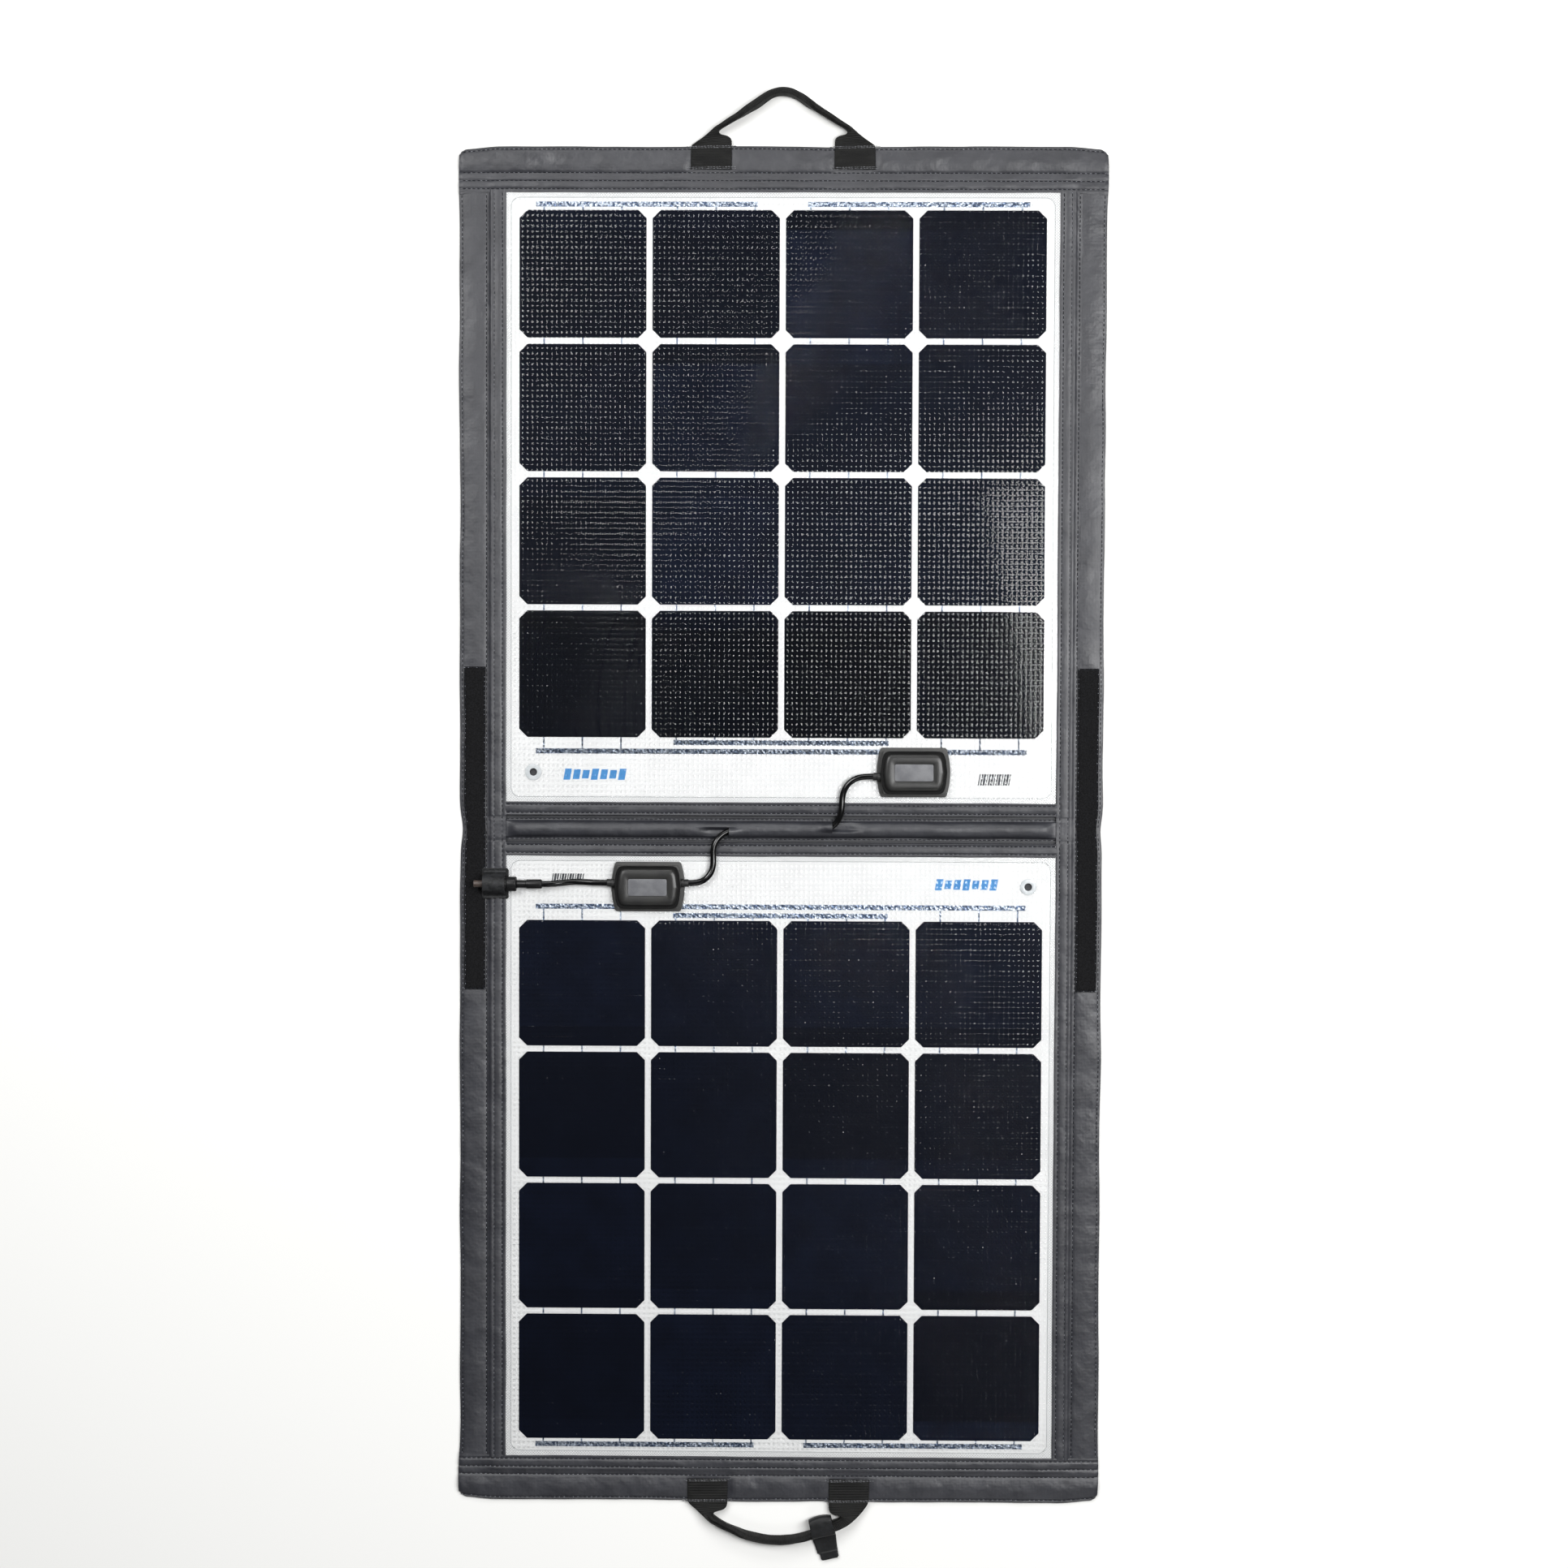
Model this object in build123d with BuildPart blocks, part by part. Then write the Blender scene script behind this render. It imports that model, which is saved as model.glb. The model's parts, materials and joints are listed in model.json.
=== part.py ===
from build123d import *
import math
import os

# A folding solar bag, lying open and face up. The frame: +X along the fold to the right, +Y away from
# the fold over the upper half, +Z up. The origin is in the middle of the spine, on the ground.
# Both halves are the same piece turned half a turn about Z, so a half's own (u, v) are its
# distance along the fold and its distance from it.

# ---- Solar cells ----
CELL = 125.0  # side of a square cell
CELL_CUT = 8.0  # leg of its clipped corners
CELL_GAP = 6.0
ROWS = 4
COLUMNS = 4
CELL_THICKNESS = 0.2

# ---- Laminate face between the sewn bindings ----
SIDE_MARGIN = 13.0  # from the cells to the side bindings
FOLD_MARGIN = 64.0  # from the cells to the binding along the fold
END_MARGIN = 17.3  # from the cells to the end band
LAP = 14.0  # laminate under its bindings and end band

# ---- Sewn fabric ----
CLOTH = 0.8
BOARD = 2.0
BACKSHEET = 0.3
FILM = 0.3
BINDING_CLOTH = 0.6
SIDE_BINDING = 18.5
FOLD_BINDING = 13.3
BINDING_BEVEL = 1.5
TAPE_GAP = 2.0  # from the binding to the hook tape
TAPE = 21.0
TAPE_THICKNESS = 1.8
TAPE_REACH = 160.0  # hook tape on each half, from the middle of the spine
EDGE_MARGIN = 4.5
BORDER_THICKNESS = 1.6
END_BAND = 45.0
HEM_THICKNESS = 2.2  # end band beyond the board
CORNER = 6.0  # rounded outer corners

# ---- Spine ----
SPINE = 23.0  # between the two fold lines
FOLD_HEIGHT = 2.6  # fold lines above the ground
FOLD_CLEARANCE = 0.3
SLEEVE_FOOT = 21.4
SLEEVE_ROOM = 0.6  # over the cable, inside the sleeve
SLEEVE_SIDE_ROOM = 4.2  # on each side of the cable
SLEEVE_END_GAP = 1.0  # from the sleeve's end to the border
SLIT = 40.0  # opening in the sleeve's side for the cable
SLIT_X = 56.0  # from the middle of the sleeve to the middle of its slit

# ---- Ribbons on the laminate ----
RIBBON = 5.0
TAB = 1.5
TAB_PITCH = 38.2  # three tabs on a cell
NEAR_RIBBON_GAP = 2.5  # from the cells to the short ribbon
FAR_RIBBON_GAP = 11.2  # from the cells to the long ribbon
END_RIBBON_GAP = 3.2
RIBBON_SPLIT = 12.0  # gap in the long ribbon under the junction box
RIBBON_INSET = 16.5  # from the cells' outer edge to a long ribbon's end

# ---- Grommets ----
GROMMET_BORE = 7.5
GROMMET_WALL = 0.8
GROMMET_FLANGE = 16.0
GROMMET_FLANGE_THICKNESS = 0.4
GROMMET_U = -245.0
GROMMET_V = 56.0

# ---- Junction box ----
BOX_U = 131.0
BOX_V = 57.0
BOX_LENGTH = 72.5
BOX_WIDTH = 49.0
BOX_BOW = 4.0  # bulge of its short sides
BOX_CORNER = 3.0
BOX_FLANGE = 2.0
BOX_HEIGHT = 14.4
BODY_INSET = 3.5
BOX_WALL = 1.8
BOX_FLOOR = 1.2
LID_EDGE = 1.6  # thickness of the lid's rim
LID_TOP_INSET = 6.0
LID_HEIGHT = 3.4
LABEL_LENGTH = 38.6
LABEL_WIDTH = 17.0
LABEL_DEPTH = 0.5
LABEL_CLEARANCE = 0.2
LABEL_CORNER = 2.0
GLAND_SHIFT = 4.0  # towards the fold from the box's middle
GLAND_AXIS = 6.4  # above the laminate
GLAND_LENGTH = 4.0  # beyond the flange
GLAND_COLLAR = 8.4
GLAND_COLLAR_LENGTH = 3.0
GLAND_COLLAR_GAP = 0.4  # from the box's wall to the collar
GLAND_NOSE = 7.4
GLAND_CLEARANCE = 0.2  # from the gland to the lid over it
TERMINALS = 3
TERMINAL_PITCH = 12.0
TERMINAL_LENGTH = 22.0
TERMINAL_WIDTH = 5.0
TERMINAL_HEIGHT = 2.4
DIODE = 5.2
DIODE_HEIGHT = 3.0

# ---- Cables and plug ----
CABLE = 6.0
ARC_SHARE = 0.45  # of a route's shorter run, taken up by the arc at its corner
LINK_SPLIT = 2.0  # where the two halves of the link cable meet in the sleeve
PLUG_Y = -54.5
PLUG_Z = 11.6
PLUG_REACH = 12.5  # from the binding's outer edge to the plug's tip
PLUG_TIP_LENGTH = 11.0
PLUG_TIP = 7.0
PLUG_TIP_BORE = 2.6
PLUG_BODY_LENGTH = 21.5
PLUG_BODY = 13.0
PLUG_COLLAR_LENGTH = 9.8
PLUG_COLLAR = 14.5
PLUG_NECK_LENGTH = 9.7
PLUG_NECK = 7.7
PLUG_SLEEVE_LENGTH = 15.6
PLUG_SLEEVE = 9.2
PLUG_FRONT_BEVEL = 1.0
PLUG_BEVEL = 0.8

# ---- Connector strap ----
STRAP_WIDTH = 22.0
STRAP_INSET = 7.5  # from the binding's outer edge to the strap's middle
STRAP_FOOT = 6.2  # flat foot on each side of the plug
STRAP_THICKNESS = 1.3
STRAP_CLEARANCE = 0.3
STRAP_FLANK = 24.0  # degrees above the plug's axis where the strap leaves it for the cloth
PATCH_THICKNESS = 0.5
PATCH_MARGIN = 1.0

# ---- Webbing handles ----
WEBBING = 1.8
WEBBING_WIDTH = 40.0
ANCHOR_LENGTH = 22.6
ANCHOR_X = 70.5
HANDLE_HINGE_GAP = 1.2  # from the end band to the handle's hinge line
HANDLE_ROOT_GAP = 1.5  # from the hinge line to the swinging webbing
GRIP_WIDTH = 7.7
GRIP_HEIGHT = 11.4
GRIP_MIDDLE = 6.9  # height of the folded webbing's middle
GRIP_START = (72.0, 12.5)  # sideways, and out from the end band
GRIP_CORNER = 2.0
TOP_APEX = 55.0
TOP_APEX_RADIUS = 18.0
BOTTOM_ROUTE = [(-46.0, 25.0), (-25.0, 33.0), (-3.0, 37.0), (13.0, 36.5), (29.0, 31.5), (54.0, 18.5)]
BOTTOM_END = (71.0, 13.5)

# ---- Closure strap on the bottom handle ----
LOOP_X = 41.5
LOOP_OUT = 25.0  # middle of the loop, out from the end band
STRAP_TILT = 13.0  # degrees
CLOSURE_WIDTH = 20.0
LOOP_THICKNESS = 1.0
LOOP_CORNER = 4.0
LOOP_CLEARANCE = 0.1
LOOP_INWARD = 13.0
LOOP_OUTWARD = 9.0
TAIL_HINGE = 10.6  # out from the loop's middle
TAIL_GAP = 0.4
TAIL_END = 34.0
TAIL_THICKNESS = 2.4
TAIL_LIFT = 0.6

# ---- Sizes worked out from those above ----
FIELD_U = COLUMNS * CELL + (COLUMNS - 1) * CELL_GAP
FIELD_V = ROWS * CELL + (ROWS - 1) * CELL_GAP
FACE_U = FIELD_U / 2 + SIDE_MARGIN
BINDING_U = FACE_U + SIDE_BINDING
TAPE_U = BINDING_U + TAPE_GAP + TAPE / 2
HALF_WIDTH = BINDING_U + TAPE_GAP + TAPE + EDGE_MARGIN
BOARD_U = FACE_U + LAP

Z_BOARD = CLOTH
Z_BACKSHEET = Z_BOARD + BOARD
Z_CELLS = Z_BACKSHEET + BACKSHEET
Z_FILM = Z_CELLS + CELL_THICKNESS
Z_FACE = Z_FILM + FILM
Z_BINDING = Z_FACE + BINDING_CLOTH
Z_BORDER = CLOTH + BORDER_THICKNESS
Z_TAPE = Z_BORDER + TAPE_THICKNESS
Z_HEM = CLOTH + HEM_THICKNESS

FOLD_V = SPINE / 2
SETBACK = max(Z_BINDING, Z_TAPE) - FOLD_HEIGHT + FOLD_CLEARANCE
BINDING_V = FOLD_V + SETBACK
FACE_V = BINDING_V + FOLD_BINDING
BOARD_V = BINDING_V + BINDING_CLOTH
CELLS_V = FACE_V + FOLD_MARGIN
CELLS_END_V = CELLS_V + FIELD_V
FACE_END_V = CELLS_END_V + END_MARGIN
BOARD_END_V = FACE_END_V + LAP
END_V = FACE_END_V + END_BAND
HINGE_V = END_V + HANDLE_HINGE_GAP

SIDES = {"upper": 1, "lower": -1}


def level(side, z):
    """The plane at height z with a half's own u along its x and v along its y."""
    return Plane(origin=(0, 0, z), x_dir=(side, 0, 0), z_dir=(0, 0, 1))


def keep(piece, name):
    """Label a finished piece and write it to its file."""
    piece.part.label = name
    export_step(piece.part, f"parts/{name}.step")


def arc_radii(points):
    """One radius for each inner point: a share of its shorter run over the tangent of half its turn."""
    vectors = [Vector(*point) for point in points]
    radii = []
    for before, corner, after in zip(vectors, vectors[1:], vectors[2:]):
        turn = (corner - before).get_angle(after - corner)
        shorter = min((corner - before).length, (after - corner).length)
        radii.append(ARC_SHARE * shorter / math.tan(math.radians(turn) / 2))
    return radii


def cord_tube(name, points):
    """A round cable along straight runs joined by tangent arcs."""
    radii = arc_radii(points)
    print(name, "radii", [round(radius, 1) for radius in radii])
    with BuildPart() as tube:
        with BuildLine() as route:
            FilletPolyline(*points, radius=radii)
        path = route.wire()
        with BuildSketch(Plane(origin=path @ 0, z_dir=path % 0)):
            Circle(CABLE / 2)
        sweep(path=path)
    length = path.length
    straight = math.pi * CABLE**2 / 4 * length
    print(name, f"length {length:.1f}, volume over section times length {tube.part.volume / straight:.4f}")
    keep(tube, name)


os.makedirs("parts", exist_ok=True)

# ---- Outlines that both halves share, in a half's own (u, v) ----
cells_middle = (0, CELLS_V + FIELD_V / 2)
with BuildSketch() as cell_outlines:
    with Locations(cells_middle):
        with GridLocations(CELL + CELL_GAP, CELL + CELL_GAP, COLUMNS, ROWS):
            Rectangle(CELL, CELL)
    chamfer(cell_outlines.vertices(), CELL_CUT)

column_pitch = CELL + CELL_GAP
near_v = CELLS_V - NEAR_RIBBON_GAP - RIBBON / 2
long_v = CELLS_V - FAR_RIBBON_GAP - RIBBON / 2
end_v = CELLS_END_V + END_RIBBON_GAP + RIBBON / 2
long_end = FIELD_U / 2 - RIBBON_INSET
near_end = column_pitch / 2 + TAB_PITCH + RIBBON / 2
end_start = column_pitch / 2 - TAB_PITCH - RIBBON / 2
with BuildSketch() as ribbon_outlines:
    with Locations((0, near_v)):
        Rectangle(2 * near_end, RIBBON)
    for start, stop in ((-long_end, BOX_U - RIBBON_SPLIT / 2), (BOX_U + RIBBON_SPLIT / 2, long_end)):
        with Locations(((start + stop) / 2, long_v)):
            Rectangle(stop - start, RIBBON)
    for hand in (-1, 1):
        with Locations((hand * (end_start + long_end) / 2, end_v)):
            Rectangle(long_end - end_start, RIBBON)
    for column in range(COLUMNS):
        column_u = (column - (COLUMNS - 1) / 2) * column_pitch
        outer = column in (0, COLUMNS - 1)
        first_v = (long_v if outer else near_v) + RIBBON / 2
        spans = [(first_v, CELLS_V), (CELLS_END_V, end_v - RIBBON / 2)]
        for row in range(1, ROWS):
            spans.append((CELLS_V + row * column_pitch - CELL_GAP, CELLS_V + row * column_pitch))
        for start, stop in spans:
            with Locations((column_u, (start + stop) / 2)):
                with GridLocations(TAB_PITCH, 0, 3, 1):
                    Rectangle(TAB, stop - start)

with BuildSketch() as box_outline:
    with BuildLine():
        Polyline((-BOX_LENGTH / 2 + BOX_BOW, BOX_WIDTH / 2), (BOX_LENGTH / 2 - BOX_BOW, BOX_WIDTH / 2))
        ThreePointArc(
            (BOX_LENGTH / 2 - BOX_BOW, BOX_WIDTH / 2),
            (BOX_LENGTH / 2, 0),
            (BOX_LENGTH / 2 - BOX_BOW, -BOX_WIDTH / 2),
        )
        Polyline((BOX_LENGTH / 2 - BOX_BOW, -BOX_WIDTH / 2), (-BOX_LENGTH / 2 + BOX_BOW, -BOX_WIDTH / 2))
        ThreePointArc(
            (-BOX_LENGTH / 2 + BOX_BOW, -BOX_WIDTH / 2),
            (-BOX_LENGTH / 2, 0),
            (-BOX_LENGTH / 2 + BOX_BOW, BOX_WIDTH / 2),
        )
    make_face()
    fillet(box_outline.vertices(), BOX_CORNER)
with BuildSketch() as body_outline:
    add(box_outline.sketch)
    offset(amount=-BODY_INSET)
with BuildSketch() as cavity_outline:
    add(body_outline.sketch)
    offset(amount=-BOX_WALL)
with BuildSketch() as lid_top_outline:
    add(box_outline.sketch)
    offset(amount=-LID_TOP_INSET)

# ---- The two halves ----
board_middle_v = (BOARD_V + BOARD_END_V) / 2
board_length = BOARD_END_V - BOARD_V
back_start = FOLD_V + FOLD_CLEARANCE
binding_length = FACE_END_V - BINDING_V
z_box_body = Z_FACE + BOX_FLANGE
z_lid = Z_FACE + BOX_HEIGHT - LID_HEIGHT
z_gland = Z_FACE + GLAND_AXIS
for half, side in SIDES.items():
    with BuildPart() as back_cloth:
        with BuildSketch(level(side, 0)) as back_outline:
            with Locations((0, (back_start + END_V) / 2)):
                Rectangle(2 * HALF_WIDTH, END_V - back_start)
            fillet(back_outline.vertices().sort_by(Axis((0, 0, 0), (0, side, 0)))[-2:], CORNER)
        extrude(amount=CLOTH)
    keep(back_cloth, f"{half}_back_cloth")

    with BuildPart() as board:
        with BuildSketch(level(side, Z_BOARD)):
            with Locations((0, board_middle_v)):
                RectangleRounded(2 * BOARD_U, board_length, CORNER)
            with Locations((GROMMET_U, GROMMET_V)):
                Circle(GROMMET_BORE / 2 + GROMMET_WALL, mode=Mode.SUBTRACT)
        extrude(amount=BOARD)
    keep(board, f"{half}_board")

    with BuildPart() as backsheet:
        with BuildSketch(level(side, Z_BACKSHEET)):
            with Locations((0, board_middle_v)):
                RectangleRounded(2 * BOARD_U, board_length, CORNER)
            with Locations((GROMMET_U, GROMMET_V)):
                Circle(GROMMET_BORE / 2 + GROMMET_WALL, mode=Mode.SUBTRACT)
        extrude(amount=BACKSHEET)
    keep(backsheet, f"{half}_backsheet")

    with BuildPart() as cells:
        with BuildSketch(level(side, Z_CELLS)):
            add(cell_outlines.sketch)
        extrude(amount=CELL_THICKNESS)
    keep(cells, f"{half}_cells")

    with BuildPart() as ribbons:
        with BuildSketch(level(side, Z_CELLS)):
            add(ribbon_outlines.sketch)
        extrude(amount=CELL_THICKNESS)
    keep(ribbons, f"{half}_ribbons")

    with BuildPart() as front_film:
        with BuildSketch(level(side, Z_FILM)):
            with Locations((0, board_middle_v)):
                RectangleRounded(2 * BOARD_U, board_length, CORNER)
            with Locations((GROMMET_U, GROMMET_V)):
                Circle(GROMMET_BORE / 2 + GROMMET_WALL, mode=Mode.SUBTRACT)
        extrude(amount=FILM)
    keep(front_film, f"{half}_front_film")

    with BuildPart() as binding:
        with BuildSketch(level(side, CLOTH)):
            with Locations((0, BINDING_V + binding_length / 2)):
                Rectangle(2 * BINDING_U, binding_length)
        extrude(amount=Z_BINDING - CLOTH)
        outer_top = binding.faces().sort_by(Axis.Z)[-1].edges().filter_by(Axis.Y)
        chamfer(outer_top, BINDING_BEVEL)
        with BuildSketch(level(side, CLOTH)):
            with Locations((0, board_middle_v)):
                RectangleRounded(2 * BOARD_U, board_length, CORNER)
        extrude(amount=Z_FACE - CLOTH, mode=Mode.SUBTRACT)
        with BuildSketch(level(side, Z_FACE)):
            with Locations((0, (FACE_V + BOARD_END_V) / 2)):
                Rectangle(2 * FACE_U, BOARD_END_V - FACE_V)
        extrude(amount=BINDING_CLOTH, mode=Mode.SUBTRACT)
    keep(binding, f"{half}_binding")

    with BuildPart() as side_borders:
        with BuildSketch(level(side, CLOTH)):
            for hand in (-1, 1):
                with Locations((hand * (BINDING_U + HALF_WIDTH) / 2, (back_start + FACE_END_V) / 2)):
                    Rectangle(HALF_WIDTH - BINDING_U, FACE_END_V - back_start)
        extrude(amount=BORDER_THICKNESS)
    keep(side_borders, f"{half}_side_borders")

    with BuildPart() as tapes:
        with BuildSketch(level(side, Z_BORDER)):
            for hand in (-1, 1):
                with Locations((hand * TAPE_U, (BINDING_V + TAPE_REACH) / 2)):
                    Rectangle(TAPE, TAPE_REACH - BINDING_V)
        extrude(amount=TAPE_THICKNESS)
    keep(tapes, f"{half}_hook_tapes")

    with BuildPart() as end_band:
        with BuildSketch(level(side, CLOTH)) as band_outline:
            with Locations((0, (FACE_END_V + END_V) / 2)):
                Rectangle(2 * HALF_WIDTH, END_BAND)
            fillet(band_outline.vertices().sort_by(Axis((0, 0, 0), (0, side, 0)))[-2:], CORNER)
        extrude(amount=HEM_THICKNESS)
        with BuildSketch(level(side, CLOTH)):
            with Locations((0, FACE_END_V + (LAP + BINDING_CLOTH) / 2)):
                Rectangle(2 * (BOARD_U + BINDING_CLOTH), LAP + BINDING_CLOTH)
        extrude(amount=Z_BINDING - CLOTH)
        with BuildSketch(level(side, CLOTH)):
            with Locations((0, board_middle_v)):
                RectangleRounded(2 * BOARD_U, board_length, CORNER)
        extrude(amount=Z_FACE - CLOTH, mode=Mode.SUBTRACT)
    keep(end_band, f"{half}_end_band")

    with BuildPart() as anchors:
        with BuildSketch(level(side, Z_HEM)):
            for hand in (-1, 1):
                with Locations((hand * ANCHOR_X, END_V - ANCHOR_LENGTH / 2)):
                    Rectangle(WEBBING_WIDTH, ANCHOR_LENGTH)
        extrude(amount=WEBBING)
    keep(anchors, f"{half}_handle_anchors")

    with BuildPart() as grommet:
        with BuildSketch(level(side, Z_BOARD)):
            with Locations((GROMMET_U, GROMMET_V)):
                Circle(GROMMET_BORE / 2 + GROMMET_WALL)
        extrude(amount=Z_FACE - Z_BOARD)
        with BuildSketch(level(side, Z_FACE)):
            with Locations((GROMMET_U, GROMMET_V)):
                Circle(GROMMET_FLANGE / 2)
        extrude(amount=GROMMET_FLANGE_THICKNESS)
        with BuildSketch(level(side, Z_BOARD)):
            with Locations((GROMMET_U, GROMMET_V)):
                Circle(GROMMET_BORE / 2)
        extrude(amount=Z_FACE + GROMMET_FLANGE_THICKNESS - Z_BOARD, mode=Mode.SUBTRACT)
    keep(grommet, f"{half}_grommet")

    gland_hands = (-1,) if half == "upper" else (-1, 1)
    gland_start = BOX_LENGTH / 2 - BODY_INSET - BOX_WALL
    gland_end = BOX_LENGTH / 2 + GLAND_LENGTH
    bore_start = gland_start - BOX_WALL
    collar_start = gland_start + BOX_WALL + GLAND_COLLAR_GAP
    with BuildPart() as box_base:
        with BuildSketch(level(side, Z_FACE)):
            with Locations((BOX_U, BOX_V)):
                add(box_outline.sketch)
        extrude(amount=BOX_FLANGE)
        with BuildSketch(level(side, z_box_body)):
            with Locations((BOX_U, BOX_V)):
                add(body_outline.sketch)
        extrude(amount=z_lid - z_box_body)
        with BuildSketch(level(side, Z_FACE + BOX_FLOOR)):
            with Locations((BOX_U, BOX_V)):
                add(cavity_outline.sketch)
        extrude(amount=z_lid - Z_FACE - BOX_FLOOR, mode=Mode.SUBTRACT)
        for hand in gland_hands:
            bore_plane = Plane(
                origin=(side * (BOX_U + hand * bore_start), side * (BOX_V - GLAND_SHIFT), z_gland),
                x_dir=(0, 0, 1),
                z_dir=(side * hand, 0, 0),
            )
            with BuildSketch(bore_plane):
                Circle(GLAND_NOSE / 2)
            extrude(amount=gland_end - bore_start, mode=Mode.SUBTRACT)
    keep(box_base, f"{half}_box_base")

    with BuildPart() as glands:
        for hand in gland_hands:
            for start, stop, size in (
                (gland_start, gland_end, GLAND_NOSE),
                (collar_start, collar_start + GLAND_COLLAR_LENGTH, GLAND_COLLAR),
            ):
                gland_plane = Plane(
                    origin=(side * (BOX_U + hand * start), side * (BOX_V - GLAND_SHIFT), z_gland),
                    x_dir=(0, 0, 1),
                    z_dir=(side * hand, 0, 0),
                )
                with BuildSketch(gland_plane):
                    Circle(size / 2)
                extrude(amount=stop - start)
    keep(glands, f"{half}_box_glands")

    with BuildPart() as lid:
        with BuildSketch(level(side, z_lid)):
            with Locations((BOX_U, BOX_V)):
                add(body_outline.sketch)
        extrude(amount=LID_EDGE)
        with BuildSketch(level(side, z_lid + LID_EDGE)):
            with Locations((BOX_U, BOX_V)):
                add(lid_top_outline.sketch)
        extrude(amount=LID_HEIGHT - LID_EDGE)
        with BuildSketch(level(side, z_lid + LID_HEIGHT - LABEL_DEPTH)):
            with Locations((BOX_U, BOX_V)):
                RectangleRounded(LABEL_LENGTH, LABEL_WIDTH, LABEL_CORNER)
        extrude(amount=LABEL_DEPTH, mode=Mode.SUBTRACT)
        for hand in gland_hands:
            room_plane = Plane(
                origin=(side * (BOX_U + hand * bore_start), side * (BOX_V - GLAND_SHIFT), z_gland),
                x_dir=(0, 0, 1),
                z_dir=(side * hand, 0, 0),
            )
            with BuildSketch(room_plane):
                Circle(GLAND_NOSE / 2 + GLAND_CLEARANCE)
            extrude(amount=gland_end - bore_start, mode=Mode.SUBTRACT)
    keep(lid, f"{half}_box_lid")

    with BuildPart() as label:
        with BuildSketch(level(side, z_lid + LID_HEIGHT - LABEL_DEPTH)):
            with Locations((BOX_U, BOX_V)):
                RectangleRounded(LABEL_LENGTH, LABEL_WIDTH, LABEL_CORNER)
                offset(amount=-LABEL_CLEARANCE)
        extrude(amount=LABEL_DEPTH)
    keep(label, f"{half}_box_plate")

    with BuildPart() as terminals:
        with BuildSketch(level(side, Z_FACE + BOX_FLOOR)):
            with Locations((BOX_U, BOX_V)):
                with GridLocations(0, TERMINAL_PITCH, 1, TERMINALS):
                    Rectangle(TERMINAL_LENGTH, TERMINAL_WIDTH)
        extrude(amount=TERMINAL_HEIGHT)
    keep(terminals, f"{half}_box_terminals")

    with BuildPart() as diodes:
        with BuildSketch(level(side, Z_FACE + BOX_FLOOR)):
            with Locations((BOX_U, BOX_V)):
                with GridLocations(0, TERMINAL_PITCH, 1, TERMINALS - 1):
                    Rectangle(DIODE, DIODE)
        extrude(amount=DIODE_HEIGHT)
    keep(diodes, f"{half}_box_diodes")

# ---- The spine ----
spine_half = FOLD_V - FOLD_CLEARANCE
with BuildPart() as spine_back:
    with BuildSketch(level(1, 0)):
        Rectangle(2 * HALF_WIDTH, 2 * spine_half)
    extrude(amount=CLOTH)
keep(spine_back, "spine_back_cloth")

with BuildPart() as spine_borders:
    with BuildSketch(level(1, CLOTH)):
        for hand in (-1, 1):
            with Locations((hand * (BINDING_U + HALF_WIDTH) / 2, 0)):
                Rectangle(HALF_WIDTH - BINDING_U, 2 * spine_half)
    extrude(amount=BORDER_THICKNESS)
keep(spine_borders, "spine_side_borders")

with BuildPart() as spine_tapes:
    with BuildSketch(level(1, Z_BORDER)):
        for hand in (-1, 1):
            with Locations((hand * TAPE_U, 0)):
                Rectangle(TAPE, 2 * (FOLD_V - SETBACK))
    extrude(amount=TAPE_THICKNESS)
keep(spine_tapes, "spine_hook_tapes")

sleeve_half = BINDING_U - SLEEVE_END_GAP
arch_rise = CABLE + SLEEVE_ROOM + CLOTH
arch_half = CABLE / 2 + SLEEVE_SIDE_ROOM + CLOTH
with BuildPart() as sleeve:
    with BuildSketch(Plane(origin=(-sleeve_half, 0, CLOTH), x_dir=(0, 1, 0), z_dir=(1, 0, 0))):
        Ellipse(arch_half, arch_rise)
        with Locations((0, CLOTH / 2)):
            Rectangle(SLEEVE_FOOT, CLOTH)
        Ellipse(arch_half - CLOTH, arch_rise - CLOTH, mode=Mode.SUBTRACT)
        with Locations((0, -arch_rise)):
            Rectangle(SLEEVE_FOOT, 2 * arch_rise, mode=Mode.SUBTRACT)
    extrude(amount=2 * sleeve_half)
    for hand in (-1, 1):
        with BuildSketch(level(1, CLOTH)):
            with Locations((hand * SLIT_X, hand * SLEEVE_FOOT / 4)):
                Rectangle(SLIT, SLEEVE_FOOT / 2)
        extrude(amount=arch_rise, mode=Mode.SUBTRACT)
keep(sleeve, "spine_cable_sleeve")

# ---- Cables ----
gland_x = BOX_U - BOX_LENGTH / 2 - GLAND_LENGTH
gland_y = BOX_V - GLAND_SHIFT
lead_x = -(BOX_U + BOX_LENGTH / 2 + GLAND_LENGTH)
plug_tip_end = -(BINDING_U + PLUG_REACH)
plug_end = plug_tip_end + PLUG_TIP_LENGTH + PLUG_BODY_LENGTH + PLUG_COLLAR_LENGTH
plug_end += PLUG_NECK_LENGTH + PLUG_SLEEVE_LENGTH
cord_tube(
    "link_cable_upper",
    [
        (gland_x, gland_y, z_gland),
        (82.2, gland_y, z_gland),
        (73.8, 51.1, 9.3),
        (67.0, 46.4, 8.6),
        (62.5, 39.6, 8.1),
        (60.6, 31.6, 7.8),
        (60.4, 24.0, 8.0),
        (59.8, 16.4, 7.8),
        (56.8, 9.0, 6.8),
        (51.2, 3.2, 5.2),
        (43.8, 0.1, 4.2),
        (35.0, -0.3, 3.9),
        (19.0, 0.0, 3.9),
        (LINK_SPLIT, 0.0, 3.9),
    ],
)
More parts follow.
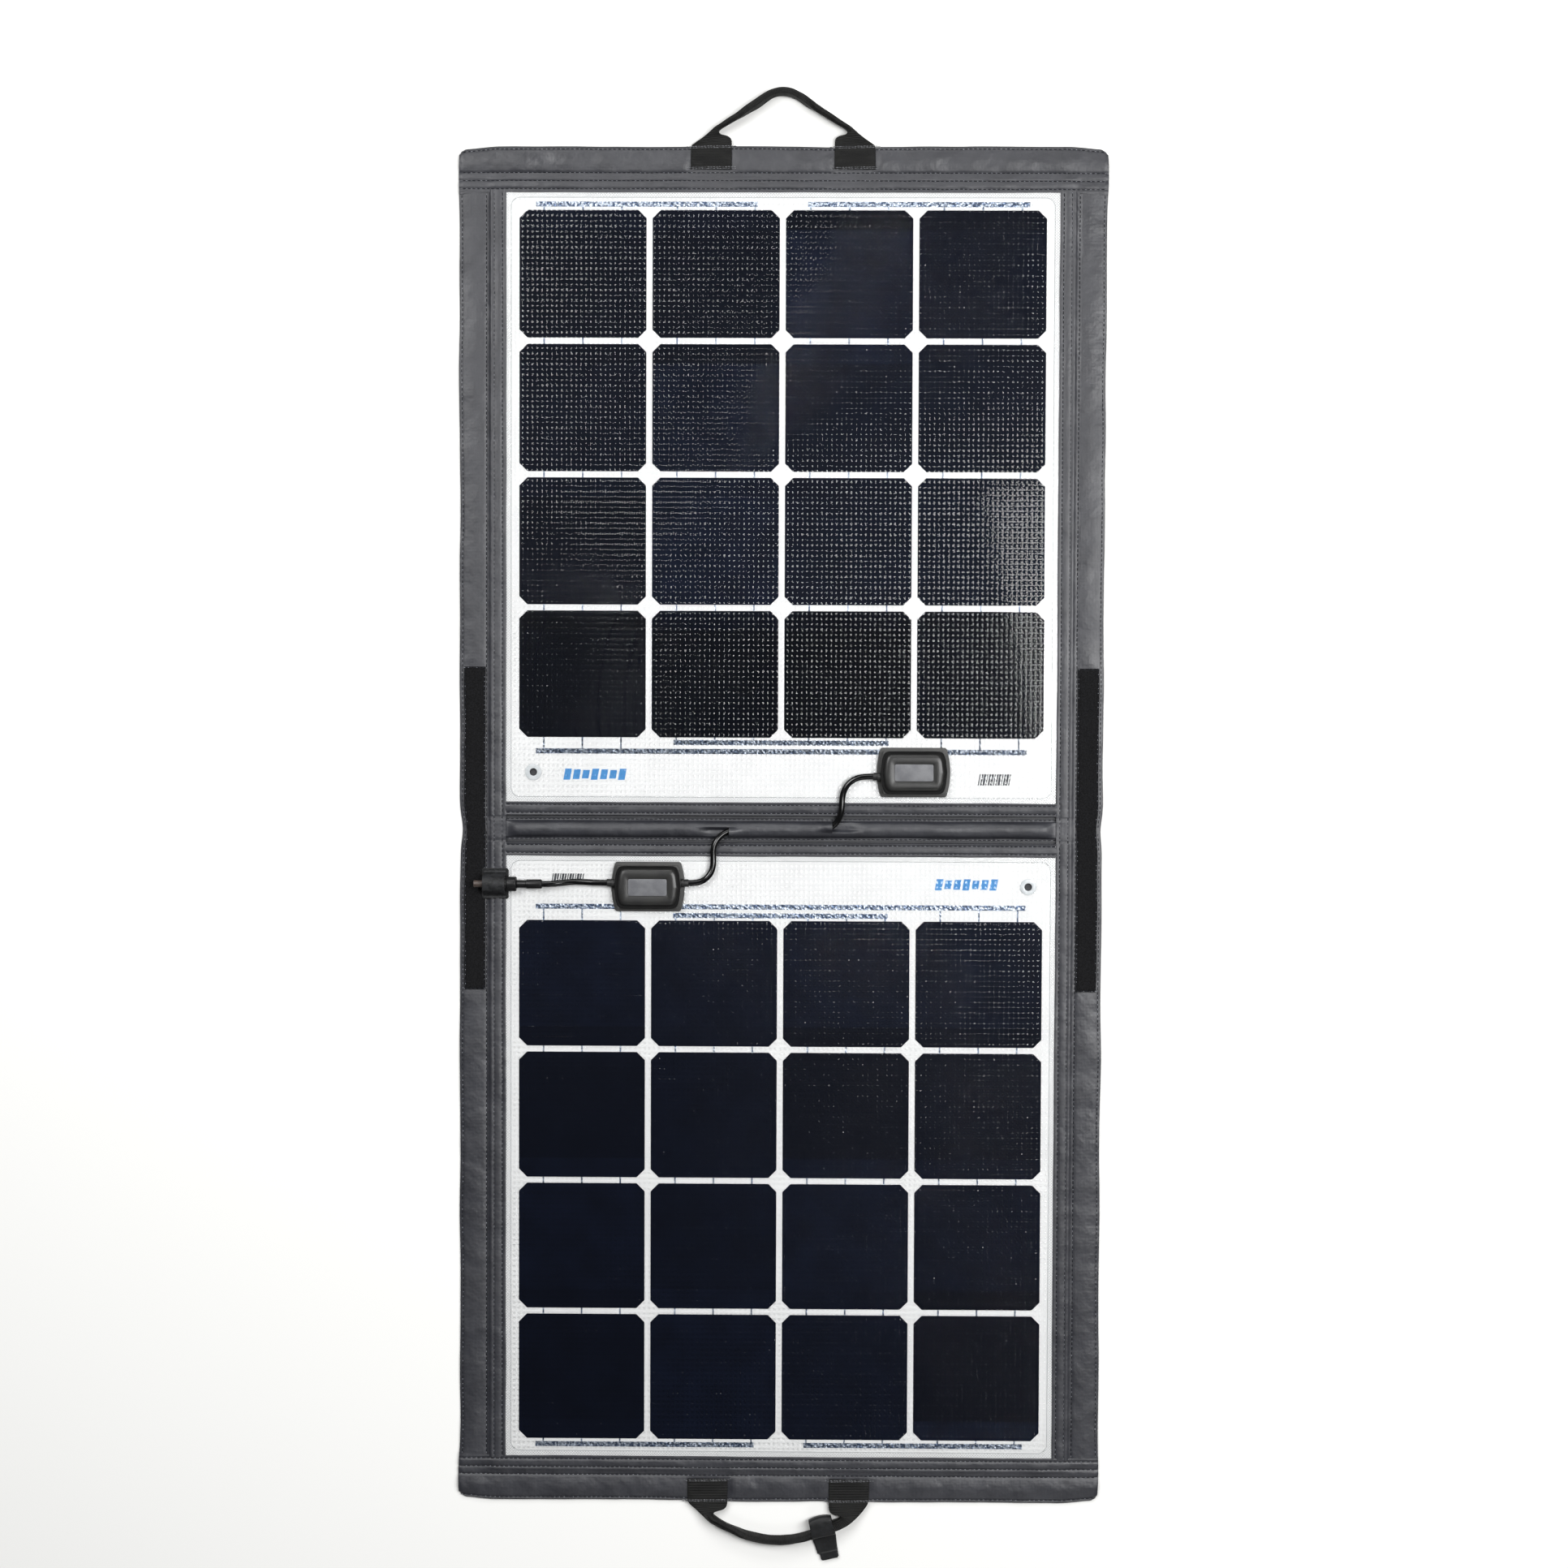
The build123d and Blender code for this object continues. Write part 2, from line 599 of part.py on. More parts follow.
cord_tube(
    "link_cable_lower",
    [
        (-gland_x, -gland_y, z_gland),
        (-82.6, -gland_y, z_gland),
        (-75.0, -50.0, 9.3),
        (-69.3, -44.2, 8.6),
        (-66.5, -36.6, 8.1),
        (-66.4, -28.4, 7.8),
        (-66.8, -20.6, 8.0),
        (-64.6, -12.6, 7.6),
        (-59.4, -6.2, 6.2),
        (-52.2, -2.0, 4.8),
        (-44.2, -0.3, 4.1),
        (-34.0, 0.2, 3.9),
        (-18.0, 0.0, 3.9),
        (LINK_SPLIT, 0.0, 3.9),
    ],
)
cord_tube(
    "output_lead",
    [
        (lead_x, -gland_y, z_gland),
        (-182.6, -gland_y, z_gland),
        (-193.0, -52.4, 8.9),
        (-204.5, -52.2, 8.3),
        (-215.5, -53.3, 9.4),
        (-225.8, PLUG_Y, PLUG_Z),
        (plug_end, PLUG_Y, PLUG_Z),
    ],
)


def plug_section(start):
    """The plane across the plug's axis at a place along X, looking towards the cable."""
    return Plane(origin=(start, PLUG_Y, PLUG_Z), x_dir=(0, 1, 0), z_dir=(1, 0, 0))


body_start = plug_tip_end + PLUG_TIP_LENGTH
plug_collar_start = body_start + PLUG_BODY_LENGTH
neck_start = plug_collar_start + PLUG_COLLAR_LENGTH
with BuildPart() as plug_tip:
    with BuildSketch(plug_section(plug_tip_end)):
        Circle(PLUG_TIP / 2)
        Circle(PLUG_TIP_BORE / 2, mode=Mode.SUBTRACT)
    extrude(amount=PLUG_TIP_LENGTH)
keep(plug_tip, "plug_tip")

with BuildPart() as plug_body:
    with BuildSketch(plug_section(body_start)):
        Circle(PLUG_BODY / 2)
    extrude(amount=PLUG_BODY_LENGTH)
    chamfer(plug_body.faces().sort_by(Axis.X)[0].edges(), PLUG_FRONT_BEVEL)
keep(plug_body, "plug_body")

with BuildPart() as plug_collar:
    with BuildSketch(plug_section(plug_collar_start)):
        Circle(PLUG_COLLAR / 2)
    extrude(amount=PLUG_COLLAR_LENGTH)
    chamfer(plug_collar.edges().filter_by(GeomType.CIRCLE), PLUG_BEVEL)
keep(plug_collar, "plug_collar")

with BuildPart() as plug_relief:
    with BuildSketch(plug_section(neck_start)):
        Circle(PLUG_NECK / 2)
    extrude(amount=PLUG_NECK_LENGTH)
    with BuildSketch(plug_section(neck_start + PLUG_NECK_LENGTH)):
        Circle(PLUG_SLEEVE / 2)
    extrude(amount=PLUG_SLEEVE_LENGTH)
    chamfer(plug_relief.faces().sort_by(Axis.X)[-1].edges(), PLUG_BEVEL)
keep(plug_relief, "plug_strain_relief")

# ---- Connector strap and the patch under it ----
arch_inner = PLUG_BODY / 2 + STRAP_CLEARANCE
arch_outer = arch_inner + STRAP_THICKNESS
z_foot = Z_BINDING + PATCH_THICKNESS
strap_reach = arch_outer + STRAP_FOOT
strap_x = STRAP_INSET - BINDING_U
strap_start = strap_x - STRAP_WIDTH / 2
strap_end = min(strap_x + STRAP_WIDTH / 2, plug_collar_start - STRAP_CLEARANCE)
patch_split = -(BINDING_U + TAPE_GAP / 2)
with BuildPart() as strap_patch:
    for z_under, start, stop in (
        (Z_BINDING, patch_split, plug_collar_start - STRAP_CLEARANCE),
        (Z_TAPE, strap_start - STRAP_CLEARANCE, patch_split),
    ):
        with BuildSketch(level(1, z_under)):
            with Locations(((start + stop) / 2, PLUG_Y)):
                Rectangle(stop - start, 2 * strap_reach + 2 * PATCH_MARGIN)
        extrude(amount=z_foot - z_under)
keep(strap_patch, "connector_strap_patch")


def tent(radius, mode=Mode.ADD):
    """A round at a radius about the plug's axis, with straight flanks from its sides down to the ground."""
    flank = math.radians(STRAP_FLANK)
    side_out = radius * math.cos(flank)
    side_up = radius * math.sin(flank)
    ground_out = side_out + (side_up + PLUG_Z) * math.tan(flank)
    Circle(radius, mode=mode)
    Polygon(
        (-side_out, side_up),
        (-ground_out, -PLUG_Z),
        (ground_out, -PLUG_Z),
        (side_out, side_up),
        align=None,
        mode=mode,
    )


with BuildPart() as connector_strap:
    with BuildSketch(plug_section(strap_start)):
        tent(arch_outer)
        with Locations((0, z_foot - PLUG_Z + STRAP_THICKNESS / 2)):
            Rectangle(2 * strap_reach, STRAP_THICKNESS)
        tent(arch_inner, Mode.SUBTRACT)
        with Locations((0, (z_foot - 2 * PLUG_Z) / 2)):
            Rectangle(4 * strap_reach, z_foot, mode=Mode.SUBTRACT)
    extrude(amount=strap_end - strap_start)
keep(connector_strap, "connector_strap")

# ---- Handles ----
z_hinge = Z_HEM + WEBBING / 2


def grip_plane(place, direction):
    """The plane across a folded grip, with its height along x."""
    return Plane(origin=place, x_dir=(0, 0, 1), z_dir=direction)


def handle(name, side, route, radii=None):
    """A webbing handle: two flat roots that close up into one folded grip along the route."""
    points = [(x, side * (END_V + out), GRIP_MIDDLE) for x, out in route]
    radii = radii or arc_radii(points)
    with BuildPart() as webbing:
        with BuildLine() as line:
            FilletPolyline(*points, radius=radii)
        path = line.wire()
        with BuildSketch(grip_plane(path @ 0, path % 0)):
            RectangleRounded(GRIP_HEIGHT, GRIP_WIDTH, GRIP_CORNER)
        sweep(path=path)
        root_y = side * (HINGE_V + HANDLE_ROOT_GAP)
        for hand, place in ((-1, path @ 0), (1, path @ 1)):
            with BuildSketch(Plane.XY.offset(Z_HEM)):
                with BuildLine():
                    Polyline(
                        (hand * ANCHOR_X - WEBBING_WIDTH / 2, root_y),
                        (hand * ANCHOR_X + WEBBING_WIDTH / 2, root_y),
                        (place.X + GRIP_WIDTH, place.Y),
                        (place.X - GRIP_WIDTH, place.Y),
                        close=True,
                    )
                make_face()
            extrude(amount=WEBBING)
    keep(webbing, name)


start_x, start_out = GRIP_START
handle("top_handle", 1, [(-start_x, start_out), (0, TOP_APEX), (start_x, start_out)], [TOP_APEX_RADIUS])
handle("bottom_handle", -1, [(-start_x, start_out), *BOTTOM_ROUTE, BOTTOM_END])

# ---- Closure strap ----
tilt = math.radians(STRAP_TILT)
across = (math.cos(tilt), math.sin(tilt), 0)
outward = Vector(math.sin(tilt), -math.cos(tilt), 0)
loop_middle = Vector(LOOP_X, -END_V - LOOP_OUT, GRIP_MIDDLE)
loop_height = GRIP_HEIGHT + 2 * LOOP_CLEARANCE + 2 * LOOP_THICKNESS
loop_length = LOOP_INWARD + LOOP_OUTWARD
loop_shift = (LOOP_OUTWARD - LOOP_INWARD) / 2
loop_start = loop_middle - Vector(*across) * (CLOSURE_WIDTH / 2)
with BuildPart() as closure_loop:
    with BuildSketch(Plane(origin=loop_start, x_dir=outward, z_dir=across)):
        with Locations((loop_shift, 0)):
            RectangleRounded(loop_length, loop_height, LOOP_CORNER)
            RectangleRounded(
                loop_length - 2 * LOOP_THICKNESS,
                loop_height - 2 * LOOP_THICKNESS,
                LOOP_CORNER - LOOP_THICKNESS,
                mode=Mode.SUBTRACT,
            )
    extrude(amount=CLOSURE_WIDTH)
keep(closure_loop, "closure_loop")

tail_middle = Vector(LOOP_X, -END_V - LOOP_OUT, TAIL_LIFT) - Vector(*across) * (CLOSURE_WIDTH / 2)
tail_start = TAIL_HINGE + TAIL_GAP
with BuildPart() as closure_tail:
    with BuildSketch(Plane(origin=tail_middle, x_dir=outward, z_dir=across)):
        with Locations(((tail_start + TAIL_END) / 2, -TAIL_THICKNESS / 2)):
            Rectangle(TAIL_END - tail_start, TAIL_THICKNESS)
    extrude(amount=CLOSURE_WIDTH)
keep(closure_tail, "closure_tail")
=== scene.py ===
"""Looks of a folding solar bag that lies open and face up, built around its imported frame.

Sizes are millimetres until a mesh is written, where MM turns them to metres. Both halves are one
piece turned half a turn about Z, so a half's own (u, v) are its distance along the fold and its
distance from it, and Half.at places them.
"""

import json
import logging
import math
import random
from collections.abc import Callable, Sequence
from dataclasses import dataclass, field
from enum import Enum

import bpy
import numpy as np
from mathutils import Matrix, Vector, noise

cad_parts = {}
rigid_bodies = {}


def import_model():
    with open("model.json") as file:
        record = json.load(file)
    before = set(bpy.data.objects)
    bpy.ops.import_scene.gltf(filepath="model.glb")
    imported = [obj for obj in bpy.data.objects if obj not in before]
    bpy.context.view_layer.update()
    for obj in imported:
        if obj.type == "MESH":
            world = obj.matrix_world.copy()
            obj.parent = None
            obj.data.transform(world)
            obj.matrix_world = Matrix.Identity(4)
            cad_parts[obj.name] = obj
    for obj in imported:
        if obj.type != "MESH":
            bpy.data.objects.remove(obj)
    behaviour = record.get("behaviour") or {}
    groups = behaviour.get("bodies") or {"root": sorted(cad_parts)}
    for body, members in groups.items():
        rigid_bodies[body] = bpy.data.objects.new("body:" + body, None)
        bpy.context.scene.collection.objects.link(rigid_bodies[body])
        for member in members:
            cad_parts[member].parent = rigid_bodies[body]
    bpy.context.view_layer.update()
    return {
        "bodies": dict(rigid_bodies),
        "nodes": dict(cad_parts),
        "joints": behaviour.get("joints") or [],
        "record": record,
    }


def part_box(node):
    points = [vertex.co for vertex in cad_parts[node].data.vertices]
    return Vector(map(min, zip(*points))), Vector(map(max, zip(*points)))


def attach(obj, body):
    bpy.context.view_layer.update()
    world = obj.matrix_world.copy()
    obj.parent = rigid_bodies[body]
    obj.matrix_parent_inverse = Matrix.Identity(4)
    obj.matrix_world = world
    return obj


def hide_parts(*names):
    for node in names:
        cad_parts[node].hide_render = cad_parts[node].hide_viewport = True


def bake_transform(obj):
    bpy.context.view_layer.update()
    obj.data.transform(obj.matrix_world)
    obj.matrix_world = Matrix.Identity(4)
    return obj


LOG = logging.getLogger("solar_bag")
MM = 0.001
FRAME: dict = {}
Point = tuple[float, float, float]
Place = Callable[[float, float], Point]
Sheet = bpy.types.Object
Socket = bpy.types.NodeSocket


class Edge(Enum):
    """Which long side of a half a strip of cloth lies on."""

    LEFT = -1
    RIGHT = 1


# ---------------------------------------------------------------------------------------------
# Small tools
# ---------------------------------------------------------------------------------------------


def linear(colour: str) -> tuple[float, float, float, float]:
    """Turns an sRGB hex colour to the linear values that shaders take.

    Args:
        colour: six hex digits after a hash.

    Returns:
        Red, green, blue and full alpha.
    """
    channels = [int(colour[i : i + 2], 16) / 255 for i in (1, 3, 5)]
    red, green, blue = (c / 12.92 if c <= 0.04045 else ((c + 0.055) / 1.055) ** 2.4 for c in channels)
    return red, green, blue, 1.0


def ease(value: float, start: float, stop: float) -> float:
    """Rises smoothly from 0 at start to 1 at stop."""
    share = min(1.0, max(0.0, (value - start) / (stop - start)))
    return share * share * (3 - 2 * share)


def bell(distance: float, width: float) -> float:
    """A soft bump: 1 at no distance, about a third at its width, and nothing far away."""
    return math.exp(-((distance / width) ** 2))


def arch(share: float) -> float:
    """Half a sine wave, up from 0 and back, while a share goes from 0 to 1."""
    return math.sin(math.pi * min(1, max(0, share)))


def squared(value: float, power: float) -> float:
    """A sine or cosine raised to a power under 1 with its sign kept, which squares a circle up."""
    return math.copysign(abs(value) ** power, value)


def ripple(x: float, y: float, size: float, seed: float) -> float:
    """Smooth noise from about -1 to 1 whose lumps are a size in millimetres apart."""
    return noise.noise(Vector((x / size, y / size, seed)))


def activate(piece: Sheet) -> None:
    """Selects one object alone and makes it active."""
    bpy.ops.object.select_all(action="DESELECT")
    piece.select_set(True)
    bpy.context.view_layer.objects.active = piece


def add_object(name: str, data: bpy.types.ID) -> bpy.types.Object:
    """Puts new data in the scene as an object."""
    added = bpy.data.objects.new(name, data)
    bpy.context.scene.collection.objects.link(added)
    return added


def shaped_grid(name: str, columns: int, rows: int, place: Place, cloth: tuple[float, float]) -> Sheet:
    """Adds a grid and moves each of its points to where a sheet has it.

    Args:
        name: the piece's name.
        columns: faces along the sheet's first direction.
        rows: faces along its second direction.
        place: gives a point in millimetres from two shares between 0 and 1.
        cloth: the sheet's size in millimetres, which its UV map takes.

    Returns:
        The new object, with its place in its mesh.
    """
    bpy.ops.object.select_all(action="DESELECT")
    bpy.ops.mesh.primitive_grid_add(x_subdivisions=columns, y_subdivisions=rows, size=1.0)
    piece = bpy.context.object
    piece.name = piece.data.name = name
    for vertex in piece.data.vertices:
        x, y, z = place(vertex.co.x + 0.5, vertex.co.y + 0.5)
        vertex.co = (x * MM, y * MM, z * MM)
    for corner in piece.data.uv_layers.active.data:
        corner.uv = (corner.uv[0] * cloth[0] * MM, corner.uv[1] * cloth[1] * MM)
    return piece


def in_edit_mode(piece: Sheet, *steps: Callable[[], object]) -> None:
    """Runs edit-mode steps on everything in a piece."""
    activate(piece)
    bpy.ops.object.mode_set(mode="EDIT")
    for step in steps:
        bpy.ops.mesh.select_all(action="SELECT")
        step()
    bpy.ops.object.mode_set(mode="OBJECT")


def merging(gap: float) -> Callable[[], object]:
    """The edit-mode step that merges points within a gap in millimetres."""
    return lambda: bpy.ops.mesh.remove_doubles(threshold=gap * MM)


def face_up(piece: Sheet) -> None:
    """Turns an open sheet's faces over if most of them look down."""
    piece.data.update()
    if sum(face.normal.z * face.area for face in piece.data.polygons) < 0:
        in_edit_mode(piece, bpy.ops.mesh.flip_normals)


def close_seam(piece: Sheet) -> None:
    """Merges points that meet, and turns all faces outwards."""
    in_edit_mode(piece, merging(0.01), lambda: bpy.ops.mesh.normals_make_consistent(inside=False))


def modify(piece: Sheet, kind: str, **settings: object) -> None:
    """Adds a modifier with its settings and applies it."""
    activate(piece)
    modifier = piece.modifiers.new(kind.title(), kind)
    for name, value in settings.items():
        setattr(modifier, name, value)
    bpy.ops.object.modifier_apply(modifier=modifier.name)


def smooth(piece: Sheet, degrees: float = 35.0) -> None:
    """Shades a piece smooth but for its sharp edges."""
    activate(piece)
    bpy.ops.object.shade_smooth_by_angle(angle=math.radians(degrees))


def thicken(piece: Sheet, thickness: float) -> None:
    """Gives a sheet its thickness, downwards from its top face."""
    face_up(piece)
    modify(piece, "SOLIDIFY", thickness=thickness * MM, offset=-1.0, use_even_offset=False)
    smooth(piece)


def join(name: str, parts: Sequence[Sheet]) -> Sheet:
    """Joins several objects into the first and names the result."""
    activate(parts[0])
    for part in parts:
        part.select_set(True)
    bpy.ops.object.join()
    parts[0].name = parts[0].data.name = name
    return parts[0]


def settle(piece: Sheet, finish: "AnyFinish", nodes: Sequence[str] = (), body: str = "") -> Sheet:
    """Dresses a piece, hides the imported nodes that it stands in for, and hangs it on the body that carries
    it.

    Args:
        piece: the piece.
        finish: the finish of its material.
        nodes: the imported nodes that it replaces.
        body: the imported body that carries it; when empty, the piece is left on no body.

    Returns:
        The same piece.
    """
    piece.data.materials.clear()
    piece.data.materials.append(WARDROBE.get(finish))
    if nodes:
        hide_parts(*nodes)
    if body:
        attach(piece, body)
    return piece


def bend(piece: Sheet) -> Sheet:
    """Bakes a piece's place into its mesh and leaves it on no body."""
    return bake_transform(piece)


def refined(node: str, name: str, bevel: float, finish: "AnyFinish", slot: str, body: str) -> Sheet:
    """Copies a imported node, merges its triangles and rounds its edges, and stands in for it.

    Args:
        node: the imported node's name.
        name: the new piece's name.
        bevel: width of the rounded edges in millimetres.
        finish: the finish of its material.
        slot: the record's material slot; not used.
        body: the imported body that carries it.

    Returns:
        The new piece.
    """
    piece = add_object(name, FRAME["nodes"][node].data.copy())
    piece.data.name = name
    in_edit_mode(piece, merging(0.005), lambda: bpy.ops.mesh.dissolve_limited(angle_limit=math.radians(2)))
    corner = {"limit_method": "ANGLE", "angle_limit": math.radians(40), "use_clamp_overlap": True}
    modify(piece, "BEVEL", width=bevel * MM, segments=3, **corner)
    smooth(piece)
    return settle(piece, finish, [node], body)


def dress_node(node: str, finish: "AnyFinish") -> None:
    """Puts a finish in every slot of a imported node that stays."""
    piece = FRAME["nodes"][node]
    if not piece.material_slots:
        piece.data.materials.append(WARDROBE.get(finish))
    for place in piece.material_slots:
        place.material = WARDROBE.get(finish)


def size_of(node: str) -> tuple[Vector, Vector]:
    """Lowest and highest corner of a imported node, in millimetres."""
    low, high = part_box(node)
    return Vector(low) / MM, Vector(high) / MM


# ---------------------------------------------------------------------------------------------
# Finishes
# ---------------------------------------------------------------------------------------------


class Nodes:
    """A node tree that starts empty, with a short way to add each kind of node that a finish needs."""

    def __init__(self, owner: bpy.types.Material | bpy.types.World) -> None:
        """Clears the tree of a new material or world."""
        owner.use_nodes = True
        self.tree = owner.node_tree
        self.tree.nodes.clear()

    def add(self, kind: str, values: dict, **settings: object) -> bpy.types.Node:
        """Adds one node.

        Args:
            kind: the node's type.
            values: for each input, a value, or another node's output to link to it.
            settings: the node's own options.

        Returns:
            The new node.
        """
        node = self.tree.nodes.new(kind)
        for name, value in settings.items():
            setattr(node, name, value)
        for key, value in values.items():
            if isinstance(value, Socket):
                self.tree.links.new(value, node.inputs[key])
            else:
                node.inputs[key].default_value = value
        return node

    def place(self, kind: str = "Object") -> Socket:
        """Coordinates in metres: the piece's own, or those of its UV map."""
        return self.add("ShaderNodeTexCoord", {}).outputs[kind]

    def math(self, operation: str, *values: object) -> Socket:
        """One step of arithmetic."""
        return self.add("ShaderNodeMath", dict(enumerate(values)), operation=operation).outputs[0]

    def vector(self, operation: str, *values: object) -> Socket:
        """One step of vector arithmetic."""
        return self.add("ShaderNodeVectorMath", dict(enumerate(values)), operation=operation).outputs[0]

    def span(self, value: Socket, low: object, high: object, bottom=0.0, top=1.0, kind="LINEAR") -> Socket:
        """Maps a value between two limits to another span, and holds it there."""
        limits = {0: value, 1: low, 2: high, 3: bottom, 4: top}
        return self.add("ShaderNodeMapRange", limits, interpolation_type=kind).outputs[0]

    def noise(self, place: Socket, size: float, detail: float, roughness: float = 0.5) -> Socket:
        """Soft noise from 0 to 1 whose lumps are a size in millimetres apart."""
        values = {"Vector": place, "Scale": 1 / (size * MM), "Detail": detail, "Roughness": roughness}
        return self.add("ShaderNodeTexNoise", values).outputs[0]

    def wave(self, axis: Socket, period: float) -> Socket:
        """A row of soft humps from 0 to 1 along a coordinate in metres, a period in millimetres apart."""
        swing = self.math("COSINE", self.math("MULTIPLY", axis, 2 * math.pi / (period * MM)))
        return self.math("MULTIPLY_ADD", swing, 0.5, 0.5)

    def tones(self, share: Socket, first: str, second: str) -> Socket:
        """A colour between two sRGB shades."""
        values = {"Factor": share, 6: linear(first), 7: linear(second)}
        return self.add("ShaderNodeMix", values, data_type="RGBA").outputs[2]

    def bump(self, height: Socket) -> Socket:
        """The normal of a relief whose height is in metres."""
        return self.add("ShaderNodeBump", {"Height": height, "Distance": 1.0}).outputs[0]

    def mixed(self, share: Socket, first: Socket, second: Socket) -> Socket:
        """A mix of two shaders."""
        return self.add("ShaderNodeMixShader", {0: share, 1: first, 2: second}).outputs[0]

    def end(self, shader: Socket, output: str = "ShaderNodeOutputMaterial") -> None:
        """Ends the tree in a shader."""
        self.add(output, {"Surface": shader})

    def principled(self, values: dict) -> None:
        """Ends the tree in a surface shader with these values."""
        self.end(self.add("ShaderNodeBsdfPrincipled", values).outputs[0])


@dataclass(frozen=True)
class Finish:
    """A surface whose colour drifts between two shades, with a fine grain and broad dents.

    Each finish below is named for its real material. grain is the size of its finest relief and
    grain_depth its height, mottle the size of its colour patches, and dents and dent_depth those of
    its broad relief, all in millimetres. coordinates is UV where a pattern follows a bent strap.
    """

    name: str
    colour: str
    other: str
    roughness: float
    roughness_swing: float = 0.08
    grain: float = 0.8
    grain_depth: float = 0.03
    mottle: float = 18.0
    dents: float = 25.0
    dent_depth: float = 0.0
    metallic: float = 0.0
    sheen: float = 0.0
    specular: float = 0.5
    coordinates: str = "Object"

    def height(self, nodes: Nodes, place: Socket) -> Socket:
        """The surface's relief in metres, from its grain and its dents."""
        fine = nodes.math("MULTIPLY", nodes.noise(place, self.grain, 2.0, 0.6), self.grain_depth * MM)
        broad = nodes.noise(place, self.dents, 3.0, 0.55)
        return nodes.math("MULTIPLY_ADD", broad, self.dent_depth * MM, fine)

    def fill(self, nodes: Nodes) -> None:
        """Builds the material's nodes."""
        place = nodes.place(self.coordinates)
        patches = nodes.span(nodes.noise(place, self.mottle, 4.0, 0.65), 0.35, 0.65, kind="SMOOTHSTEP")
        drift = nodes.noise(place, 2.7 * self.mottle, 3.0)
        smoothest, roughest = self.roughness - self.roughness_swing, self.roughness + self.roughness_swing
        nodes.principled(
            {
                "Base Color": nodes.tones(patches, self.colour, self.other),
                "Roughness": nodes.span(drift, 0.3, 0.7, smoothest, roughest),
                "Metallic": self.metallic,
                "Sheen Weight": self.sheen,
                "Specular IOR Level": self.specular,
                "Normal": nodes.bump(self.height(nodes, place)),
            }
        )


@dataclass(frozen=True)
class WovenFinish(Finish):
    """A woven finish: threads cross at a spacing, or ribs alone run across a strap."""

    thread: float = 1.2
    thread_depth: float = 0.05
    ribs: bool = False

    def height(self, nodes: Nodes, place: Socket) -> Socket:
        """Adds the weave to the grain and dents."""
        axes = nodes.add("ShaderNodeSeparateXYZ", {0: place})
        weave = nodes.wave(axes.outputs[1], self.thread)
        if not self.ribs:
            weave = nodes.math("MULTIPLY", nodes.wave(axes.outputs[0], self.thread), weave)
        return nodes.math("MULTIPLY_ADD", weave, self.thread_depth * MM, super().height(nodes, place))


# Coated polyester: woven, calendered and coated, so it is satin, with dull patches and soft creases.
# Its 0.3 mm threads are drawn 1.1 mm apart, as coarse as they need to be to show.
COATED_POLYESTER = WovenFinish(
    "coated_polyester", "#2c2d33", "#23242a", 0.47, 0.07, 0.9, 0.05, 26.0, 26.0, 2.0,
    specular=0.72, thread=1.1,
)
# The same cloth where it is folded back on itself and rubbed along its hems.
POLYESTER_BACK = WovenFinish(
    "coated_polyester_back", "#2c2d31", "#242529", 0.55, 0.06, 1.1, 0.04, 40.0, 60.0, 1.6, thread=1.4
)
# Bonded nylon sewing thread: round, tight and dark, with pale flecks where it is twisted.
NYLON_THREAD = Finish("nylon_thread", "#0c0d12", "#1b1d24", 0.55, 0.1, 0.3, 0.05, 1.9, specular=0.2)
# Pale specks of thread between two stitches of the same seams, which paint small glints along them.
PALE_GLINT_THREAD = Finish("pale_nylon_thread", "#8d9098", "#60636b", 0.5, 0.1, 0.3, 0.05, 1.5)
GREY_THREAD = Finish("grey_nylon_thread", "#75767a", "#2c2d30", 0.55, 0.1, 0.3, 0.05, 2.2)
# Hook tape: a field of stiff nylon hooks, matt and black, that holds lint.
HOOK_TAPE = Finish(
    "nylon_hook_tape", "#09090a", "#19191b", 0.85, 0.05, 0.9, 0.45, 1.4, 6.0, 0.5, sheen=0.04, specular=0.12
)
# Polypropylene webbing: ribs run across the strap 1.6 mm apart, black and a little shiny.
WEBBING = WovenFinish(
    "polypropylene_webbing", "#0d0d0d", "#191918", 0.6, 0.08, 0.6, 0.05, 7.0, 12.0, 0.25,
    specular=0.22, coordinates="UV", thread=1.6, thread_depth=0.3, ribs=True,
)
# Satin strap: loop tape with a short smooth pile that has a soft shine.
SATIN_STRAP = Finish(
    "nylon_loop_strap", "#101112", "#191a1c", 0.5, 0.08, 0.7, 0.08, 9.0, 9.0, 0.35, sheen=0.03, specular=0.3
)
# Pebbled strap: the same strap cloth with a coarse coated grain.
PEBBLED_STRAP = Finish(
    "pebbled_strap", "#2a2b2d", "#161718", 0.55, 0.08, 1.6, 0.3, 5.0, 8.0, 0.3, specular=0.3
)
# Glass-fibre board: pressed epoxy laminate, yellowish at its cut edges.
EPOXY_BOARD = Finish("epoxy_glass_board", "#b9b088", "#a59c76", 0.5, 0.06, 0.5, 0.03, 14.0)
# White polyester back sheet: smooth, slightly satin film.
BACKSHEET = Finish("polyester_backsheet", "#f6f7f7", "#f1f2f2", 0.5, 0.05, 2.0, 0.01, 60.0, specular=0.2)
# Injection-moulded ABS with a fine spark-eroded texture.
MOULDED_ABS = Finish("moulded_abs", "#1f1f1f", "#262625", 0.36, 0.05, 0.5, 0.02, 12.0)
